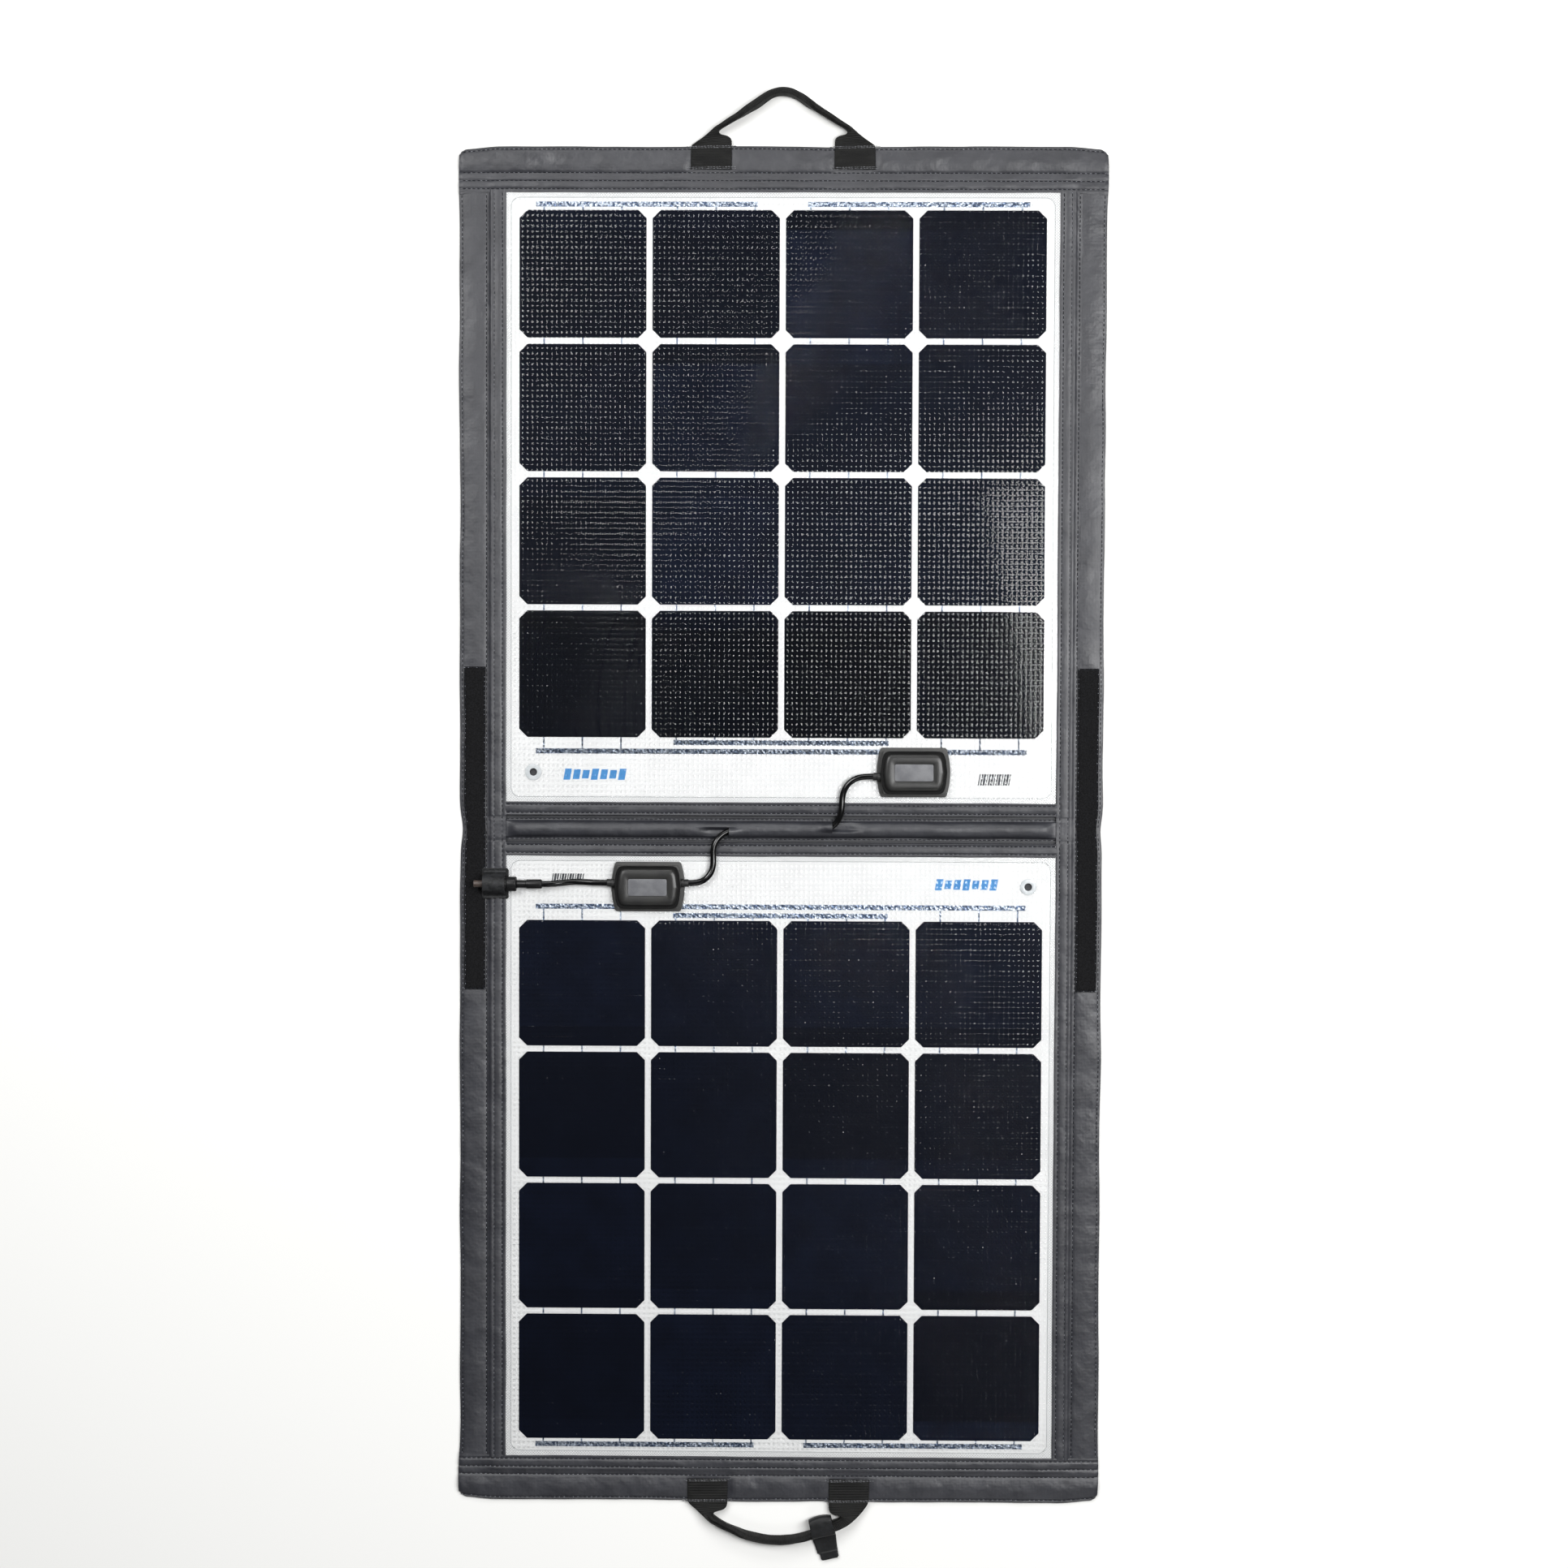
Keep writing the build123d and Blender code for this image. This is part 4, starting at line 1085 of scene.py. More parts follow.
@dataclass
class CableSleeve:
    """The puffed cloth channel along the spine, with a slit on each side where the cable goes in."""

    layout: Layout
    foot: float = 10.9
    arch: float = 8.1
    top: float = 8.2
    slit: float = 51.0
    mouth_top: float = 12.4
    press: float = 4.2
    sewn_top: float = 3.3
    reach: float = 289.5

    def section(self, x: float, y: float, inside: bool) -> float:
        """Height of the sleeve's cloth over a place on the spine.

        Args:
            x: place along the spine in millimetres.
            y: place across it.
            inside: True between the two slits, where the cable lies under the cloth.

        Returns:
            The height of its top face.
        """
        base = self.layout.cloth + 0.9
        hump = max(0.0, 1 - (abs(y) / self.arch) ** 2.2) ** 0.6
        z = base + (self.top - base) * hump
        z += (0.5 + 0.4 * hump) * ripple(x, y, 26, 12.4) + 0.25 * ripple(x, y, 9, 3.3) * hump
        z -= 0.3 * bell(abs(y) - self.foot + 1.1, 0.8)
        near, side = abs(x) - self.slit, y if x > 0 else -y
        if inside and side > -4:
            opened = 1 - ease(-near, 0, 16)
            wide = base + (self.mouth_top - base) * max(0.0, 1 - (abs(side - 2.0) / 6.4) ** 3) ** 0.7
            z += (max(wide, z) - z) * opened * ease(side, -4, 1)
        if not inside and side > -3:
            pressed = (1 - ease(near, 15, 34)) * ease(side, -3, 1)
            z += (min(z, self.press - 0.8 * abs(side - 4) / 7) - z) * pressed
        z += (min(z, self.sewn_top) - z) * ease(abs(x), self.layout.face_u - 12, self.layout.face_u + 1)
        return max(z, self.layout.cloth + 0.6)

    def length(self, name: str, start: float, stop: float) -> Sheet:
        """One length of the sleeve: between the slits, or from a slit to the sleeve's end."""

        def spread(s: float, t: float) -> Point:
            x = start + (stop - start) * s
            y = self.foot * (2 * t - 1)
            return x, y + 0.3 * ripple(x, 2, 50, 6.6), self.section(x, y, start == -stop)

        part = shaped_grid(name, round((stop - start) / 3), 28, spread, (stop - start, 26))
        face_up(part)
        return part

    def build(self) -> Sheet:
        """Builds the sleeve, whose three lengths part only along the slits, and its two seams."""
        places = (-self.reach, -self.slit, self.slit, self.reach)
        names = ("left_length", "middle_length", "right_length")
        piece = join("spine_sleeve_cloth", [self.length(*spot) for spot in zip(names, places, places[1:])])
        in_edit_mode(piece, merging(0.02))
        thicken(piece, 0.7)
        settle(piece, COATED_POLYESTER, ["spine_cable_sleeve"], "spine")

        def on_sleeve(x: float, y: float, _: float) -> Point:
            return x, y, self.section(x, y, abs(x) < self.slit) + 0.12

        stitcher = Stitcher(dice=random.Random(19))
        for row in (1.1 - self.foot, self.foot - 1.1):
            stitcher.row((3 - self.reach, row, 0), (self.reach - 3, row, 0), on_sleeve)
        seams = stitcher.sew("spine_sleeve_stitches", stitcher.stitches, NYLON_THREAD, "fabric_grey")
        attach(seams, "spine")
        return piece


# ---------------------------------------------------------------------------------------------
# Routes, cables and webbing
# ---------------------------------------------------------------------------------------------


def route(points: Sequence[Point], steps: int = 8) -> list[Vector]:
    """The points, in metres, of a smooth line with these control points in millimetres.

    Args:
        points: the control points.
        steps: how finely each stretch of the line is divided.

    Returns:
        The points that the line passes through.
    """
    curve = bpy.data.curves.new("route", "CURVE")
    curve.dimensions = "3D"
    curve.resolution_u = steps
    spline = curve.splines.new("NURBS")
    spline.points.add(len(points) - 1)
    for target, (x, y, z) in zip(spline.points, points):
        target.co = (x * MM, y * MM, z * MM, 1.0)
    spline.order_u = 3
    spline.use_endpoint_u = True
    line = add_object("route", curve)
    mesh = bpy.data.meshes.new_from_object(line)
    path = [vertex.co.copy() for vertex in mesh.vertices]
    bpy.data.meshes.remove(mesh)
    bpy.data.objects.remove(line)
    return path


@dataclass
class Cable:
    """A round jacketed cable along a route of chosen points."""

    name: str
    node: str
    points: tuple[Point, ...]
    diameter: float = 6.0
    around: int = 20

    def build(self, half: Half, plug: Sequence[Sheet] = ()) -> Sheet:
        """Makes the cable's tube along its route, whose length sets the tube's UV map.

        Args:
            half: the half whose box it leaves.
            plug: the pieces of the plug on its far end; without one it goes on into the sleeve.

        Returns:
            The cable.
        """
        path = route(self.points)
        length = sum((b - a).length for a, b in zip(path, path[1:]))
        rows = len(path) - 1

        def skin(s: float, t: float) -> Point:
            index = round(t * rows)
            ahead = (path[min(index + 1, rows)] - path[max(index - 1, 0)]).normalized()
            sideways = ahead.cross(Vector((0, 0, 1))).normalized()
            upwards = sideways.cross(ahead)
            angle = 2 * math.pi * s
            out = (sideways * math.cos(angle) + upwards * math.sin(angle)) * (self.diameter / 2 * MM)
            return tuple((path[index] + out) / MM)

        piece = shaped_grid(self.name, self.around, rows, skin, (math.pi * self.diameter, length / MM))
        close_seam(piece)
        smooth(piece, 60)
        settle(piece, PVC_JACKET, [self.node], half.body if plug else "")
        if not plug:
            half.across_fold(piece)
        return piece


GLAND = (90.75, 53.0, 10.0)
SPINE_MIDDLE = (2.0, 0.0, 3.9)
UPPER_LINK = Cable(
    "upper_link_cable",
    "link_cable_upper",
    (
        GLAND,
        (82.2, 53.0, 10.0),
        (73.8, 51.1, 9.3),
        (67.0, 46.4, 8.6),
        (62.5, 39.6, 8.1),
        (60.6, 31.6, 7.8),
        (60.4, 24.0, 8.0),
        (59.8, 16.4, 7.8),
        (56.8, 9.0, 6.8),
        (51.2, 3.2, 5.2),
        (43.8, 0.1, 4.2),
        (35.0, -0.3, 3.9),
        (19.0, 0.0, 3.9),
        SPINE_MIDDLE,
    ),
)
LOWER_LINK = Cable(
    "lower_link_cable",
    "link_cable_lower",
    (
        (-90.75, -53.0, 10.0),
        (-82.6, -53.0, 10.0),
        (-75.0, -50.0, 9.3),
        (-69.3, -44.2, 8.6),
        (-66.5, -36.6, 8.1),
        (-66.4, -28.4, 7.8),
        (-66.8, -20.6, 8.0),
        (-64.6, -12.6, 7.6),
        (-59.4, -6.2, 6.2),
        (-52.2, -2.0, 4.8),
        (-44.2, -0.3, 4.1),
        (-34.0, 0.2, 3.9),
        (-18.0, 0.0, 3.9),
        SPINE_MIDDLE,
    ),
)
OUTPUT_LEAD = Cable(
    "output_lead_cable",
    "output_lead",
    (
        (-171.25, -53.0, 10.0),
        (-182.6, -53.0, 10.0),
        (-193.0, -52.4, 8.9),
        (-204.5, -52.2, 8.3),
        (-215.5, -53.3, 9.4),
        (-225.8, -54.5, 11.6),
        (-235.4, -54.5, 11.6),
    ),
)


Rail = tuple[tuple[float, float], tuple[float, float], float, float]

@dataclass
class WebbingHandle:
    """A handle of wide webbing: two flat patches sewn to the end band, folded up into one grip.

    Each rail is a line across the webbing, from its first patch to its last: the place of its inner
    edge, the place of its outer edge, its thickness and the height of its middle, in millimetres.
    """

    half: Half
    grip: str
    rails: tuple[Rail, ...]
    around: int = 44
    step: float = 0.8
    squareness: float = 0.42
    pleat: float = 4.4

    def lines(self) -> tuple[np.ndarray, np.ndarray, np.ndarray]:
        """The smoothed inner and outer edges, and the distance along the middle at each of their points."""
        edges = [[(*rail[0], rail[2]) for rail in self.rails], [(*rail[1], rail[3]) for rail in self.rails]]
        inner, outer = (np.array([tuple(point) for point in route(edge, 16)]) / MM for edge in edges)
        middle = (inner[:, :2] + outer[:, :2]) / 2
        steps = np.linalg.norm(np.diff(middle, axis=0), axis=1)
        return inner, outer, np.concatenate([[0], np.cumsum(steps)])

    def build(self) -> Sheet:
        """Builds the webbing as one strip that closes up along its length."""
        inner, outer, gone = self.lines()
        total = float(gone[-1])

        def skin(s: float, t: float) -> Point:
            reach = total * t
            near_x, near_y, thick = (float(np.interp(reach, gone, inner[:, axis])) for axis in range(3))
            far_x, far_y, middle = (float(np.interp(reach, gone, outer[:, axis])) for axis in range(3))
            near, far = Vector((near_x, near_y)), Vector((far_x, far_y))
            half_width = (far - near).length / 2
            angle = 2 * math.pi * s
            wide, high = squared(math.cos(angle), self.squareness), squared(math.sin(angle), self.squareness)
            folded = ease(thick, 2.2, 9.0)
            pleat = folded * (1 - 0.5 * folded) * math.cos(2 * math.pi * wide * half_width / self.pleat)
            x, z = wide * half_width, high * (thick / 2 + pleat)
            twist = ease(thick, 8.5, 11.0) * (0.3 * math.sin(reach / 23) + 0.25 * ripple(reach, 4, 16, 7.1))
            x, z = x * math.cos(twist) - z * math.sin(twist), x * math.sin(twist) + z * math.cos(twist)
            x += 0.3 * ripple(reach, 5, 9, 2.2) * folded
            place = (near + far) / 2 + (far - near).normalized() * x
            return place.x, place.y, max(0.25, middle + z + 0.16 * ripple(place.x, reach, 7, 3.3))

        rows = round(total / self.step)
        piece = shaped_grid(f"{self.grip}_webbing", self.around, rows, skin, (40.0, total))
        in_edit_mode(piece, merging(0.01))
        self.close_ends(piece)
        close_seam(piece)
        smooth(piece, 50)
        settle(piece, WEBBING, [f"{self.half.name}_handle_anchors", self.grip])
        start, stop = (self.half.at(0, self.half.layout.end + reach, 0) for reach in (-0.6, 5.0))
        return bend(piece)

    @staticmethod
    def close_ends(piece: Sheet) -> None:
        """Fills the two open ends of the strip."""
        activate(piece)
        bpy.ops.object.mode_set(mode="EDIT")
        bpy.ops.mesh.select_all(action="DESELECT")
        bpy.ops.mesh.select_non_manifold(extend=False)
        bpy.ops.mesh.edge_face_add()
        bpy.ops.object.mode_set(mode="OBJECT")

    def patch_stitches(self) -> Sheet:
        """Grey bar tacks over both ends of each flat patch, sewn past its edges."""
        layout = self.half.layout
        stitcher = Stitcher(pitch=2.9, dash=3.1, thick=0.6, dice=random.Random(23 + self.half.side))

        def on_patch(u: float, v: float, _: float) -> Point:
            beside = ease(abs(abs(u) - layout.anchor_u), 19.3, 21.5)
            return self.half.at(u, v, layout.hem_top + 1.95 - 1.6 * beside)

        for hand in (-1, 1):
            for row in (0.5, 1.9, 20.9, 22.3):
                u, v = hand * layout.anchor_u + 0.9 * ripple(row, hand, 1.7, 3.3), layout.anchor_v + row
                stitcher.row((u - 25, v - 0.5, 0), (u + 25, v + 0.5, 0), on_patch)
        name = f"{self.half.name}_handle_stitches"
        piece = stitcher.sew(name, stitcher.stitches, GREY_THREAD, "webbing_black")
        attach(piece, self.half.body)
        return piece


def mirrored(rails: tuple[Rail, ...]) -> tuple[Rail, ...]:
    """Completes one side's rails with the same rails on the other side, in the order that they follow."""
    other = [((-a, b), (-c, d), thick, middle) for (a, b), (c, d), thick, middle in reversed(rails[:-1])]
    return (*rails, *other)


TOP_RAILS = mirrored(
    (
        ((-50.5, 648.4), (-90.5, 648.4), 1.9, 3.95),
        ((-50.5, 660.0), (-90.5, 660.0), 1.9, 3.95),
        ((-50.5, 671.5), (-90.5, 671.5), 1.9, 3.95),
        ((-50.4, 676.2), (-87.6, 673.4), 2.0, 4.0),
        ((-52.0, 679.4), (-83.8, 676.0), 2.4, 4.2),
        ((-56.0, 681.2), (-79.8, 678.6), 3.2, 4.6),
        ((-60.2, 681.6), (-75.6, 681.6), 4.4, 5.2),
        ((-63.2, 683.2), (-71.6, 684.8), 6.2, 5.8),
        ((-62.2, 686.2), (-67.4, 688.4), 8.6, 6.4),
        ((-57.0, 689.0), (-61.6, 692.6), 10.2, 6.8),
        ((-48.0, 694.2), (-52.2, 698.9), 11.0, 6.9),
        ((-36.0, 701.4), (-39.6, 707.0), 11.2, 6.9),
        ((-22.6, 709.6), (-26.0, 715.8), 11.2, 6.9),
        ((-13.2, 716.8), (-15.8, 722.6), 10.6, 6.9),
        ((-6.5, 720.0), (-7.4, 726.2), 10.2, 6.9),
        ((0.0, 720.6), (0.0, 727.0), 10.2, 6.9),
    )
)
BOTTOM_RAILS = (
    ((-50.5, -648.4), (-90.5, -648.4), 1.9, 3.95),
    ((-50.5, -660.0), (-90.5, -660.0), 1.9, 3.95),
    ((-50.6, -671.5), (-90.4, -671.3), 1.9, 3.95),
    ((-51.0, -675.4), (-88.2, -674.0), 2.0, 4.0),
    ((-53.6, -678.8), (-84.2, -677.2), 2.6, 4.3),
    ((-58.6, -680.2), (-80.2, -680.6), 3.4, 4.8),
    ((-63.6, -681.0), (-75.8, -684.4), 5.0, 5.4),
    ((-65.0, -683.4), (-71.4, -688.2), 7.2, 6.0),
    ((-61.0, -686.2), (-66.4, -692.0), 9.4, 6.6),
    ((-53.6, -690.6), (-58.6, -696.4), 10.6, 6.9),
    ((-44.8, -694.8), (-48.6, -701.0), 11.2, 6.9),
    ((-30.4, -700.9), (-33.8, -706.8), 11.2, 6.9),
    ((-14.0, -704.8), (-16.0, -710.8), 11.2, 6.9),
    ((0.0, -706.0), (-0.6, -712.2), 11.0, 6.9),
    ((12.0, -705.2), (12.0, -711.6), 11.0, 6.9),
    ((24.0, -702.4), (24.8, -709.2), 11.0, 6.9),
    ((36.0, -698.0), (38.4, -705.4), 10.6, 6.9),
    ((47.0, -692.8), (51.0, -701.2), 9.8, 6.9),
    ((56.0, -688.4), (61.4, -697.6), 8.8, 6.7),
    ((62.4, -685.8), (68.8, -694.0), 7.6, 6.4),
    ((62.8, -684.0), (73.4, -690.6), 6.4, 6.0),
    ((59.4, -683.8), (77.2, -687.4), 5.0, 5.4),
    ((55.0, -683.8), (81.0, -683.8), 3.6, 4.8),
    ((51.2, -681.2), (84.8, -679.6), 2.6, 4.3),
    ((50.2, -676.0), (88.0, -675.2), 2.0, 4.0),
    ((50.4, -671.5), (90.2, -671.3), 1.9, 3.95),
    ((50.5, -660.0), (90.5, -660.0), 1.9, 3.95),
    ((50.5, -648.4), (90.5, -648.4), 1.9, 3.95),
)


@dataclass
class ClosureStrap:
    """A satin strap looped round the bottom handle, with a free tail."""

    middle: Point = (43.6, -696.0, 6.9)
    tilt: float = 13.0
    width: float = 22.6
    inward: float = 12.4
    outward: float = 9.0
    lap: float = 3.2
    tail_hinge: float = 10.6
    tail_end: float = 34.0
    body: str = "bottom_handle"

    def place(self, out: float, across: float, z: float) -> Point:
        """A point from its distance out from the handle, across the strap, and its height."""
        turn = math.radians(self.tilt)
        x = self.middle[0] + out * math.sin(turn) + across * math.cos(turn)
        y = self.middle[1] - out * math.cos(turn) + across * math.sin(turn)
        return x, y, z

    def loop(self) -> Sheet:
        """The loop round the grip: crowned on top, rounded where it turns under."""

        def skin(s: float, t: float) -> Point:
            angle = 2 * math.pi * s
            reach = self.outward if math.cos(angle) > 0 else self.inward
            out = squared(math.cos(angle), 0.62) * reach
            side = 2 * t - 1
            rounded = 1 - 0.16 * ease(-out, 4, self.inward) * side**2
            z = self.middle[2] + squared(math.sin(angle), 0.72) * (6.5 - 0.35 * side**2)
            z += 0.22 * ripple(out, side * 10, 6, 3.1)
            return self.place(out * rounded, side * self.width / 2, max(0.3, z))

        piece = shaped_grid("closure_strap_loop", 56, 24, skin, (52, 20))
        close_seam(piece)
        modify(piece, "SOLIDIFY", thickness=1.0 * MM, offset=-1.0)
        smooth(piece)
        return settle(piece, SATIN_STRAP, ["closure_loop"], self.body)

    def tail(self) -> Sheet:
        """The free tail, doubled at its end, with a small step on one side."""
        root = self.outward - self.lap

        def spread(s: float, t: float) -> Point:
            side = 2 * s - 1
            out = root + (self.tail_end - root) * t
            step = 2.2 * ease(out, 26.2, 27.4) if side < 0 else 0.0
            narrowing = 1.9 * ease(out, 8, 30) + step + 0.25 * ripple(out, side, 12, 4.4)
            across = side * (self.width / 2 + 0.7 - narrowing)
            corner = 1.4 * ease(abs(side), 0.82, 1.0) * ease(t, 0.94, 1.0)
            z = 1.9 + 0.8 * ease(out, 26.0, 27.0) + 3.6 * (1 - ease(out, root, self.tail_hinge + 3))
            z += 0.3 * ripple(out, side * 10, 8, 9.9) - 0.25 * ease(abs(side), 0.85, 1.0)
            return self.place(out - corner, across, max(1.3, z))

        piece = shaped_grid("closure_strap_tail", 24, 40, spread, (20, 26))
        thicken(piece, 1.2)
        settle(piece, SATIN_STRAP, ["closure_tail"])
        start, stop = (self.place(self.tail_hinge + reach, 0, 0) for reach in (-2.2, 2.2))
        return bend(piece)


# ---------------------------------------------------------------------------------------------
# Junction boxes, laminate and plug
# ---------------------------------------------------------------------------------------------


@dataclass
class JunctionBox:
    """The moulded box on a half: flanged base, lid, plate and cable glands."""

    half: Half
    crown: float = 0.7
    bow: float = 4.0
    squareness: float = 0.17

    def lid(self) -> Sheet:
        """The lid: a bevelled, slightly crowned top with a groove round it and a recess for its plate."""
        low, high = size_of(f"{self.half.name}_box_lid")
        plate_low, plate_high = size_of(f"{self.half.name}_box_plate")
        middle, half_size = (low + high) / 2, (high - low) / 2
        plate = (plate_high - plate_low) / 2
        top, floor = high.z, plate_low.z - 0.05
        walls = ((0.3, 0), (0, 0.3), (0, 0.9), (0.5, 1.2), (2.2, 0.9), (2.7, 1.1), (3.2, 2.2), (3.9, 3.0))
        rings = [(half_size.x - inset, half_size.y - inset, self.bow, low.z + rise) for inset, rise in walls]
        slopes = ((5.0, 3.4), (7.5, 2.6))
        rings += [(half_size.x - inset, half_size.y - inset, bow, top) for inset, bow in slopes]
        recess = ((0.7, top), (0.35, top - 0.12), (0.3, floor))
        rings += [(plate.x + gap, plate.y + gap, 0.0, z) for gap, z in recess]
        rings += [(plate.x * 0.6, plate.y * 0.6, 0.0, floor), (0.05, 0.05, 0.0, floor)]

        def skin(s: float, t: float) -> Point:
            wide, deep, bow, z = rings[round(t * (len(rings) - 1))]
            angle = 2 * math.pi * s
            across, along = (squared(turn, self.squareness) for turn in (math.cos(angle), math.sin(angle)))
            x = wide * across - math.copysign(bow * along**2 * abs(across) ** 3, across)
            y = deep * along
            if z > top - 0.05 and wide > plate.x + 0.5:
                dome = self.crown * (1 - (y / half_size.y) ** 2) * ease(half_size.x - wide, 4, 8)
                z += dome * ease(wide - plate.x, 0.6, 4.0)
            return middle.x + x, middle.y + y, z

        piece = shaped_grid(f"{self.half.name}_box_lid_moulding", 160, len(rings) - 1, skin, (190, 25))
        close_seam(piece)
        face_up(piece)
        smooth(piece, 30)
        settle(piece, MOULDED_ABS, [f"{self.half.name}_box_lid"], self.half.body)
        piece.data.materials.append(WARDROBE.get(GROOVE_SHADE_ABS))
        # Faces low in the groove take the darkened plastic, which paints the groove's shade.
        for face in piece.data.polygons:
            face.material_index = 1 if face.center.z < (low.z + 1.35) * MM else 0
        return piece

    def build(self) -> list[Sheet]:
        """Rounds the edges of the moulded parts and dresses every part of the box."""
        pieces = [self.lid()]
        for part, finish, slot, bevel in (
            ("box_base", FLANGE_ABS, "box_plastic", 0.5),
            ("box_plate", PLATE_ABS, "box_plate", 0.2),
            ("box_glands", GLAND_NYLON, "box_plastic", 0.35),
        ):
            node = f"{self.half.name}_{part}"
            pieces.append(refined(node, f"{node}_moulding", bevel, finish, slot, self.half.body))
        dress_node(f"{self.half.name}_box_terminals", BRASS)
        dress_node(f"{self.half.name}_box_diodes", EPOXY_BODY)
        return pieces


@dataclass
class Laminate:
    """The stiff board with its back sheet, cells, ribbons and dimpled film, and its printed marks."""

    half: Half
    film_margin: float = 5.0
    slant: float = 0.18

    def build(self) -> list[Sheet]:
        """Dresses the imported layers, rounds the grommet and adds the printed marks."""
        name, layout = self.half.name, self.half.layout
        film = FilmFinish(
            name=f"dimpled_film_{name}",
            half=(layout.face_u - self.film_margin, (layout.face_end - layout.face_v) / 2 - self.film_margin),
            middle=self.half.side * (layout.face_v + layout.face_end) / 2,
        )
        dress_node(f"{name}_board", EPOXY_BOARD)
        dress_node(f"{name}_backsheet", BACKSHEET)
        dress_node(f"{name}_cells", CellFinish())
        dress_node(f"{name}_ribbons", RibbonFinish())
        dress_node(f"{name}_front_film", film)
        ring = (f"{name}_grommet", f"{name}_grommet_ring", 0.15)
        grommet = refined(*ring, CLEAR_POLYCARBONATE, "grommet_plastic", self.half.body)
        return [grommet, *self.marks()]

    def bar(self, u: float, v: float, wide: float, tall: float) -> Sheet:
        """One printed bar, slanted a little, with its middle at a place on the back sheet."""
        top = size_of(f"{self.half.name}_backsheet")[1].z

        def spread(s: float, t: float) -> Point:
            x = u + wide * (s - 0.5) + self.slant * tall * (t - 0.5)
            return self.half.at(x, v + tall * (t - 0.5), top + 0.08)

        part = shaped_grid("bar", 2, 2, spread, (wide, tall))
        thicken(part, 0.03)
        return part

    def marks(self) -> list[Sheet]:
        """Plain printed shapes: a blue mark of bars near one corner, and grey bars near the other."""
        blue = [(-211 + 9.0 * i, 54.0, 6.6, 11.0 - 1.3 * (i % 3)) for i in range(7)]
        grey = [(196 + 2.5 * i, 50.0, 1.0 + 0.6 * (i % 3), 11.0) for i in range(13)]
        pieces = []
        for word, bars, finish in (("blue_mark", blue, BLUE_INK), ("grey_mark", grey, GREY_INK)):
            piece = join(f"{self.half.name}_{word}", [self.bar(*bar) for bar in bars])
            pieces.append(settle(piece, finish, body=self.half.body))
        return pieces


@dataclass
class PlugAndStrap:
    """The plug on the output lead, and the pebbled strap that holds it."""

    half: Half
    axis: tuple[float, float] = (-54.5, 11.6)
    flank: float = 24.0

    def plug(self) -> list[Sheet]:
        """Rounds and dresses the plug's moulded pieces."""
        parts = [("plug_tip", TIP_PLASTIC, "plug_tip", 0.5)]
        for node in ("plug_body", "plug_collar", "plug_strain_relief"):
            parts.append((node, PLUG_PVC, "plug_plastic", 0.4))
        return [
            refined(node, f"{node}_moulding", bevel, finish, slot, self.half.body)
            for node, finish, slot, bevel in parts
        ]

    def strap(self) -> Sheet:
        """The strap over the plug: domed, with flanks that run down to two sewn feet."""
        low, high = size_of("connector_strap")
        reach = (high.y - low.y) / 2
        radius = high.z - self.axis[1]
        lean = math.radians(self.flank)
        side_out, side_top = radius * math.cos(lean), self.axis[1] + radius * math.sin(lean)
        foot_top = low.z + 1.3
        foot_out = side_out + (side_top - foot_top) * math.tan(lean)
        flank_length = math.hypot(foot_out - side_out, side_top - foot_top)
        round_length = radius * (math.pi / 2 - lean)
        total = round_length + flank_length + reach - foot_out

        def profile(gone: float) -> tuple[float, float]:
            if gone < round_length:
                angle = gone / radius
                return radius * math.sin(angle), self.axis[1] + radius * math.cos(angle)
            if gone < round_length + flank_length:
                share = (gone - round_length) / flank_length
                return side_out + (foot_out - side_out) * share, side_top + (foot_top - side_top) * share
            return foot_out + gone - round_length - flank_length, foot_top

        def spread(s: float, t: float) -> Point:
            signed = (2 * t - 1) * total
            out, z = profile(abs(signed))
            x = low.x + (high.x - low.x) * s
            z -= 0.35 * (1 - ease(min(s, 1 - s), 0.0, 0.06))
            z += 0.16 * ripple(x, signed, 2.1, 4.4) + 0.2 * ripple(x, signed, 7, 8.8)
            z -= 0.35 * bell(abs(signed) - total + 1.6, 0.7)
            return x + 0.35 * ripple(signed, x, 9, 6.1), self.axis[0] + math.copysign(out, signed), z

        piece = shaped_grid("plug_strap_cloth", 44, 110, spread, (22, 2 * total))
        thicken(piece, 1.15)
        return settle(piece, PEBBLED_STRAP, ["connector_strap"], "connector_strap")

    def patch(self) -> Sheet:
        """The lower layer of the strap, which shows as a dark ear at each end."""
        low, high = size_of("connector_strap_patch")
        wide = high.x - low.x

        def spread(s: float, t: float) -> Point:
            x = low.x - 1.5 + (wide + 3.0) * s
            y = low.y + (high.y - low.y) * t
            edge = min(s * wide, (1 - s) * wide, y - low.y, high.y - y)
            corner = ease(abs(2 * s - 1), 0.86, 1.0) * ease(abs(2 * t - 1), 0.88, 1.0)
            x -= math.copysign(1.3 * corner, s - 0.5)
            z = high.z - 0.1 * (1 - ease(edge, 0, 1.0)) + 0.05 * ripple(x, y, 4, 2.2)
            return x, y + 0.3 * ripple(x, t, 7, 1.1), z

        piece = shaped_grid("plug_strap_patch", 24, 30, spread, (26, 31))
        thicken(piece, 0.45)
        return settle(piece, SATIN_STRAP, ["connector_strap_patch"], self.half.body)


# ---------------------------------------------------------------------------------------------
# Studio
# ---------------------------------------------------------------------------------------------


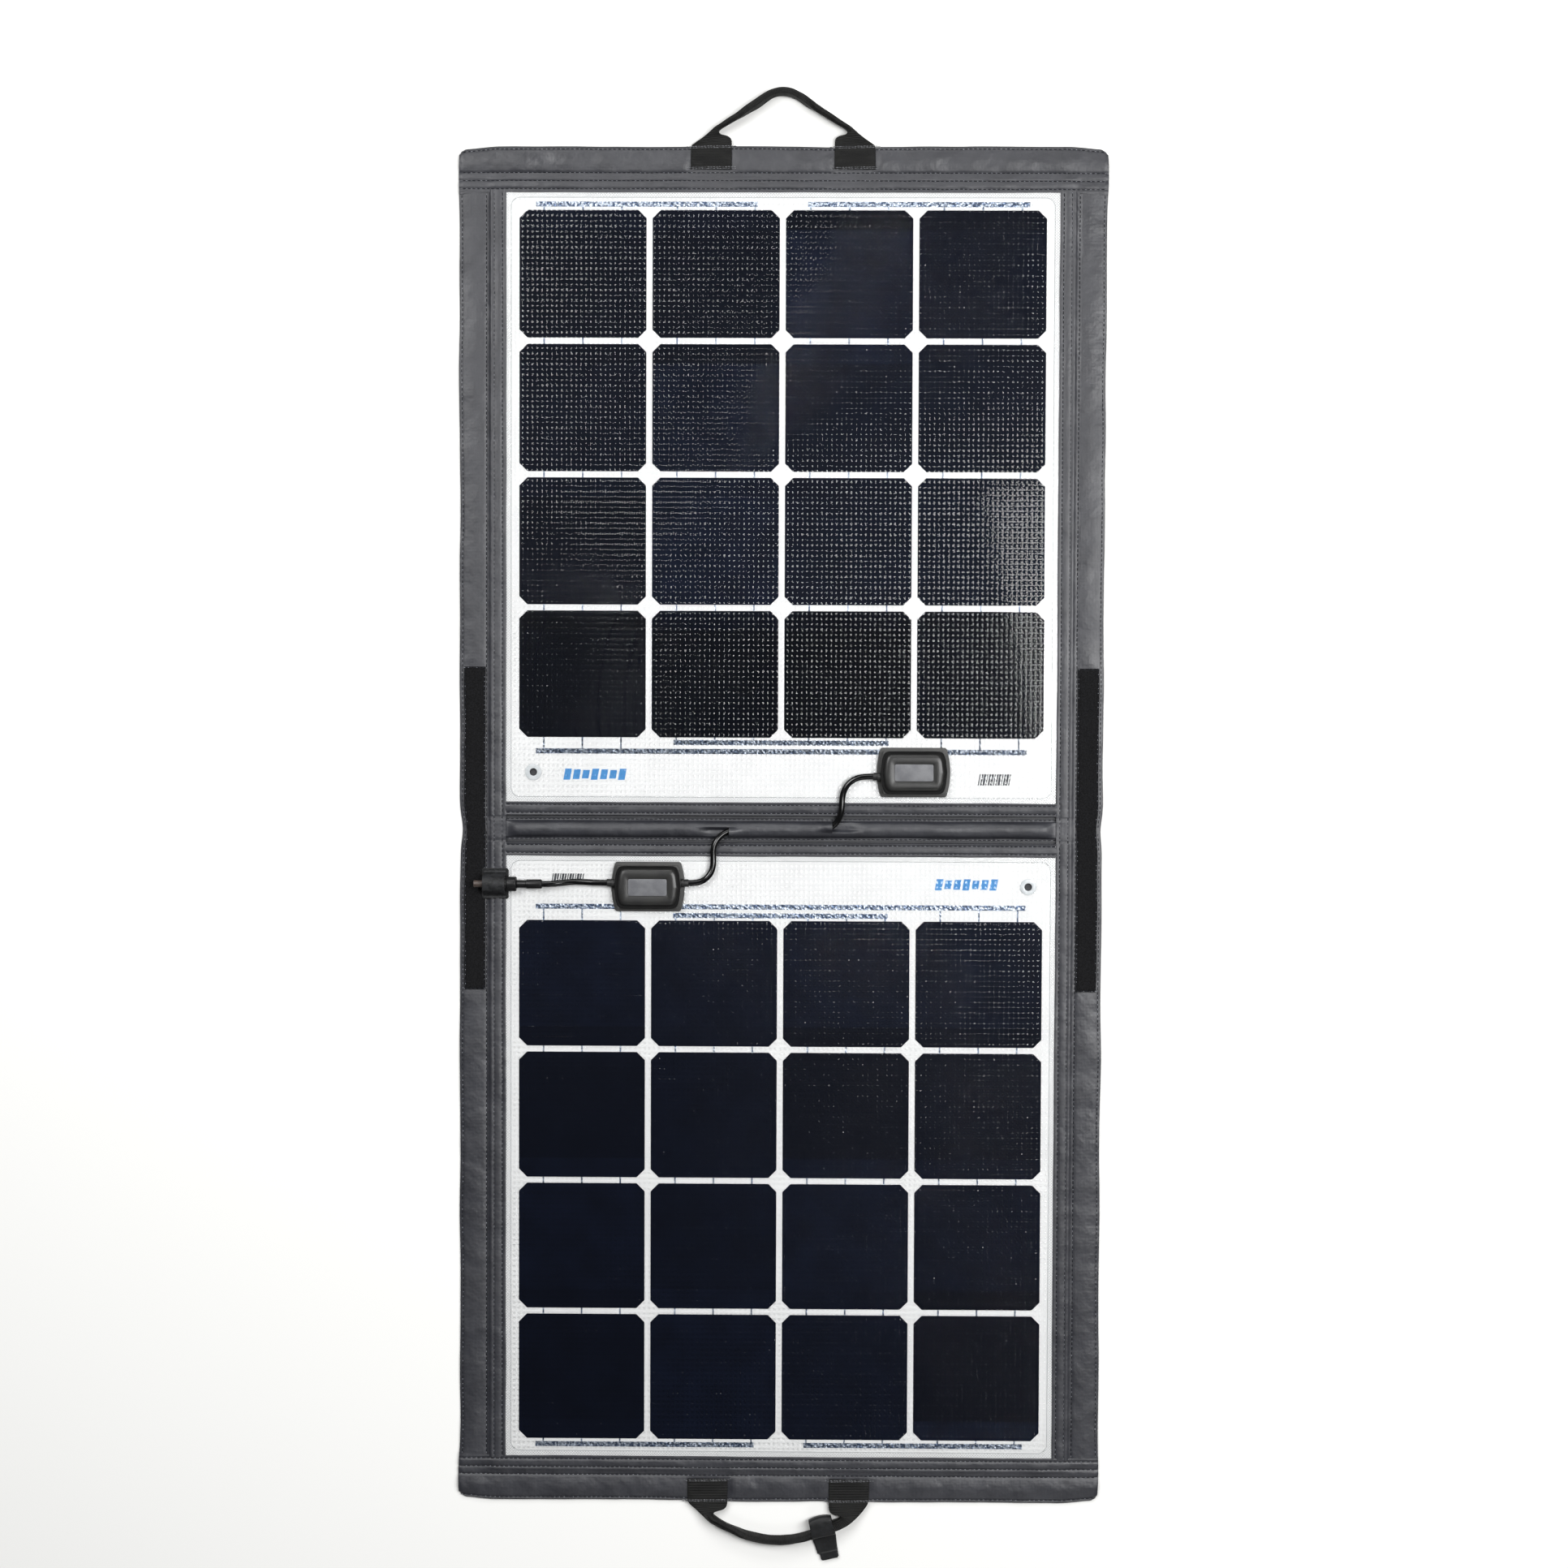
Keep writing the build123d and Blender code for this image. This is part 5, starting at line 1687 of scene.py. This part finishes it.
@dataclass
class Studio:
    """A pale floor, two long soft lights at the bag's sides, a weaker one at each end, and the camera."""

    camera_place: Point = (0.02975, 0.1233, 2.4976)
    camera_turn: Point = (-0.0313, 0.0108, 0.0038)
    lens: float = 57.95
    floor: str = "#eeeeec"
    room_light: float = 0.045
    backdrop: float = 0.9

    def light(self, name: str, place: Point, size: tuple[float, float], power: float) -> None:
        """Adds one soft light that faces the middle of the floor.

        Args:
            name: the light's name.
            place: where it hangs, in metres.
            size: its two sides, in metres.
            power: its power in watts.
        """
        lamp = bpy.data.lights.new(name, "AREA")
        lamp.shape = "RECTANGLE"
        lamp.size, lamp.size_y = size
        lamp.energy = power
        holder = add_object(name, lamp)
        holder.location = place
        holder.rotation_euler = (-Vector(place)).to_track_quat("-Z", "Y").to_euler()

    def ground(self) -> None:
        """Adds the floor, just under the bag."""
        bpy.ops.object.select_all(action="DESELECT")
        bpy.ops.mesh.primitive_plane_add(size=14.0, location=(0, 0, -0.0002))
        ground = bpy.context.object
        ground.name = "studio_floor"
        paper = bpy.data.materials.new("paper_floor")
        nodes = Nodes(paper)
        nodes.end(nodes.add("ShaderNodeBsdfDiffuse", {"Color": linear(self.floor)}).outputs[0])
        ground.data.materials.append(paper)

    def room(self) -> None:
        """Sets up a room that is dim for the bag and bright for the camera."""
        world = bpy.data.worlds.new("studio_room")
        nodes = Nodes(world)
        seen = nodes.add("ShaderNodeLightPath", {}).outputs["Is Camera Ray"]
        strength = nodes.span(seen, 0.0, 1.0, self.room_light, self.backdrop)
        walls = nodes.add("ShaderNodeBackground", {"Color": linear("#ffffff"), "Strength": strength})
        nodes.end(walls.outputs[0], "ShaderNodeOutputWorld")
        bpy.context.scene.world = world

    def build(self) -> None:
        """Sets up the floor, the lights, the room and the camera."""
        self.ground()
        self.light("left_softbox", (-1.5, 1.25, 2.4), (1.0, 1.8), 54)
        self.light("right_softbox", (1.5, 0.3, 2.4), (1.0, 2.4), 82)
        self.light("far_softbox", (0.0, 3.1, 2.1), (2.6, 0.9), 40)
        self.light("near_softbox", (0.6, -2.9, 2.2), (1.6, 0.9), 10)
        self.room()
        lens = bpy.data.cameras.new("camera")
        lens.lens = self.lens
        lens.sensor_width = 36.0
        camera = add_object("camera", lens)
        camera.location = self.camera_place
        camera.rotation_euler = self.camera_turn
        bpy.context.scene.camera = camera
        bpy.context.scene.view_settings.view_transform = "Standard"


def main() -> None:
    """Builds the studio and every sub-assembly in order, and reports the pieces."""
    logging.basicConfig(level=logging.INFO, format="%(message)s")
    FRAME.update(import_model())
    Studio().build()
    layout = Layout().read()
    drape = Drape(layout)
    upper, lower = Half("upper", 1, drape), Half("lower", -1, drape)

    plug = PlugAndStrap(lower)
    plug_pieces = plug.plug()
    pieces = [UPPER_LINK.build(upper), LOWER_LINK.build(lower), OUTPUT_LEAD.build(lower, plug_pieces)]
    pieces += [plug.strap(), plug.patch()]
    for half in (upper, lower):
        for part in (Laminate(half), JunctionBox(half), ClothCase(half)):
            pieces += part.build()
    pieces.append(CableSleeve(layout).build())
    for half, grip, rails in ((upper, "top_handle", TOP_RAILS), (lower, "bottom_handle", BOTTOM_RAILS)):
        handle = WebbingHandle(half, grip, rails)
        pieces += [handle.build(), handle.patch_stitches()]
    closure = ClosureStrap()
    pieces += [closure.loop(), closure.tail()]
    for piece in pieces:
        LOG.info("%s: %d faces", piece.name, len(piece.data.polygons))


if __name__ == "__main__":
    main()
